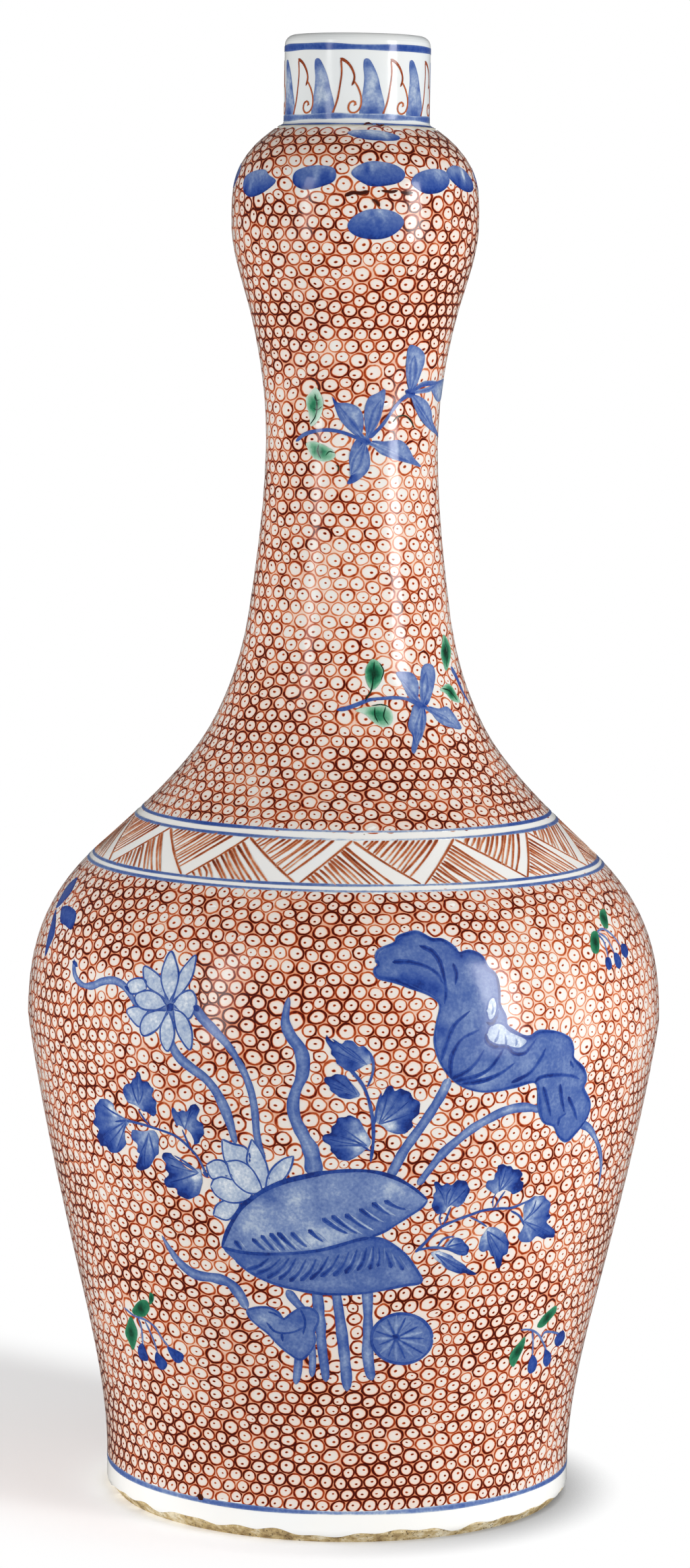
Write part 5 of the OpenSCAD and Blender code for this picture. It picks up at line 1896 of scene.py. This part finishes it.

# %% [markdown]
# ## The collar
# The mouth is a short straight collar with a rounded lip, in plain glaze painted a little greyer and cooler
# than elsewhere, which is painted shade.
# A blue line runs under the lip, and below it stand nine lappets of each kind, a solid blue leaf and an
# iron-red outline with a curl at its foot.
# The CAD collar stays as it is, because its shape is right, and only gets its glaze and its painting.

# %% Collar painting
collar_blue, lappet_blue, lappet_red = [], [], []
LAPPETS = 9
COLLAR_LINES = [((520, 69), 1.9, 0.74), ((520, 173), 1.7, 0.5), ((520, 184), 0.9, 0.7)]
for point, width, tone in COLLAR_LINES:
    level_line(collar_blue, wall_under([point])[1][0], width, tone, -6.0, 0.25)
BLUE_LAPPET = [
    (468, 88), (474, 87), (480, 97), (486, 112), (490, 130), (495, 150), (496, 164), (492, 174), (478, 175),
    (463, 174), (463, 158), (466, 138), (468, 116), (467, 100),
]
LAPPET_PATCHES = [(478, 168, 13, 0.72), (472, 95, 8, 0.5), (486, 128, 6, 0.5), (474, 130, 9, 0.16)]
wash(lappet_blue, seen(BLUE_LAPPET), 0.2, -7.5, LAPPET_PATCHES, 0.22, LEAF_GRAIN)
RED_LAPPET = [
    ([(506, 87), (507, 108), (504, 130), (500, 150), (492, 172)], [0.6, 0.5, 0.5, 0.55, 0.8], 0.7),
    ([(505, 86), (515, 92), (522, 101), (526, 112), (525, 121), (522, 127)],
     [1.0, 0.9, 0.7, 0.5, 0.6, 0.6], 0.78),
    ([(525, 119), (532, 131), (536, 145), (535, 158), (529, 166), (521, 167), (517, 161), (519, 153),
      (525, 150), (528, 154), (525, 157)], [0.5, 0.5, 0.5, 0.5, 0.5, 0.6, 0.7, 0.7, 0.6, 0.7, 0.7], 0.6),
]
for points, width, tone in RED_LAPPET:
    stroke(lappet_red, seen(points), width, tone, -6.5, taper=0.6)
painted_pieces += [
    film_piece("collar_lines", collar_blue, cobalt_blue),
    repeated_piece("blue_lappets", lappet_blue, cobalt_blue, LAPPETS),
    repeated_piece("red_lappets", lappet_red, iron_red, LAPPETS),
]
print("collar:", len(collar_blue), "lines and", LAPPETS, "lappets of each kind")

# %% [markdown]
# ## The foot
# The painting ends in a blue line just above the foot. Below it the plain glaze stops in a ragged edge,
# where it was wiped off so that the vase wouldn't stick to the kiln shelf. The bare clay there is buff,
# sandy and stained.

# %% Foot
foot_blue = []
level_line(foot_blue, FOOT_LINE, 1.5, 0.48, 0.6, 0.15, 0.1)
FOOT_PARTS, FOOT_ROWS, FOOT_OVERLAP = 480, 8, 4 * MM
GLAZE_END, RAGGED_DEPTH, RAGGED_WAVES, WAVE_FALL = 3.3 * MM, 0.42 * MM, range(3, 40), 0.6
CLAY_PATCH, CLAY_GRAIN, CLAY_BUMP, CLAY_DEPTH, CLAY_ROUGH = 5 * MM, 0.8 * MM, 0.5, 0.3 * MM, 0.85
GRIT_SIZE, GRIT_EDGE, GRIT_BROWN = 1.1 * MM, (0.56, 0.68), "57452F"
foot_angle = np.linspace(0, FULL_TURN, FOOT_PARTS, endpoint=False)
ragged = np.zeros(FOOT_PARTS)
for wave in RAGGED_WAVES:
    ragged += hand.normal(0, 1) * np.sin(wave * foot_angle + hand.uniform(0, FULL_TURN)) / wave**WAVE_FALL
glaze_end = GLAZE_END + RAGGED_DEPTH * ragged / ragged.std()
foot_rise = FOOT_LINE + FOOT_OVERLAP - glaze_end
foot_rows = [glaze_end + foot_rise * share for share in np.linspace(0, 1, FOOT_ROWS)]


def biscuit_material():
    made, tree, shader = new_material("biscuit")
    clay = ramp(tree, cloud(tree, CLAY_PATCH, 4.0, 0.7), (0.34, "8A7048"), (0.5, "BFA878"), (0.66, "E2D8BE"))
    grit = ease(tree, cloud(tree, GRIT_SIZE, 3.0, 0.7), *GRIT_EDGE)
    tree.links.new(mix_colour(tree, grit, clay, paint(GRIT_BROWN)), shader.inputs["Base Color"])
    roughen(tree, shader, cloud(tree, CLAY_GRAIN, 3.0), CLAY_BUMP, CLAY_DEPTH)
    shader.inputs["Roughness"].default_value = CLAY_ROUGH
    return made


biscuit = biscuit_material()
painted_pieces += [
    # The foot's glaze is the brighter white, which is painted light
    ring_skin("foot_glaze", foot_rows, painted_light_foot_white, PLAIN_LIFT, COAT_BITE, FOOT_PARTS),
    film_piece("foot_line", foot_blue, cobalt_blue),
]
print("glaze ends between", glaze_end.min().round(4), "and", glaze_end.max().round(4))

# %% [markdown]
# ## Finishes for the CAD sections
# The sections themselves show inside the mouth and under the foot. Inside they are glazed white and the foot
# is bare clay. The rings between them are fired slip, a little rougher and creamier than the wall.

# %% Finish the sections and attach the pieces to the root body
SLIP_PATCH, SLIP_GRAIN, SLIP_BUMP, SLIP_DEPTH, SLIP_ROUGH = 6 * MM, 2 * MM, 0.4, 0.3 * MM, 0.6


def slip_material():
    made, tree, shader = new_material("fired_slip")
    cream = ramp(tree, cloud(tree, SLIP_PATCH, 3.0), (NOISE_LOW, "D8D0C2"), (NOISE_HIGH, "E6E0D4"))
    tree.links.new(cream, shader.inputs["Base Color"])
    roughen(tree, shader, cloud(tree, SLIP_GRAIN, 3.0), SLIP_BUMP, SLIP_DEPTH)
    shader.inputs["Roughness"].default_value = SLIP_ROUGH
    return made


fired_slip = slip_material()
# The collar takes the greyer glaze, which is painted shade
finishes = {"foot_base": biscuit, "mouth_collar": painted_shade_collar_glaze}
for name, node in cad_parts.items():
    node.data.materials.clear()
    node.data.materials.append(fired_slip if name.endswith("_slip") else finishes.get(name, white_glaze))
for piece in painted_pieces:
    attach(piece, "root")
print("painted pieces handed over:", len(painted_pieces))
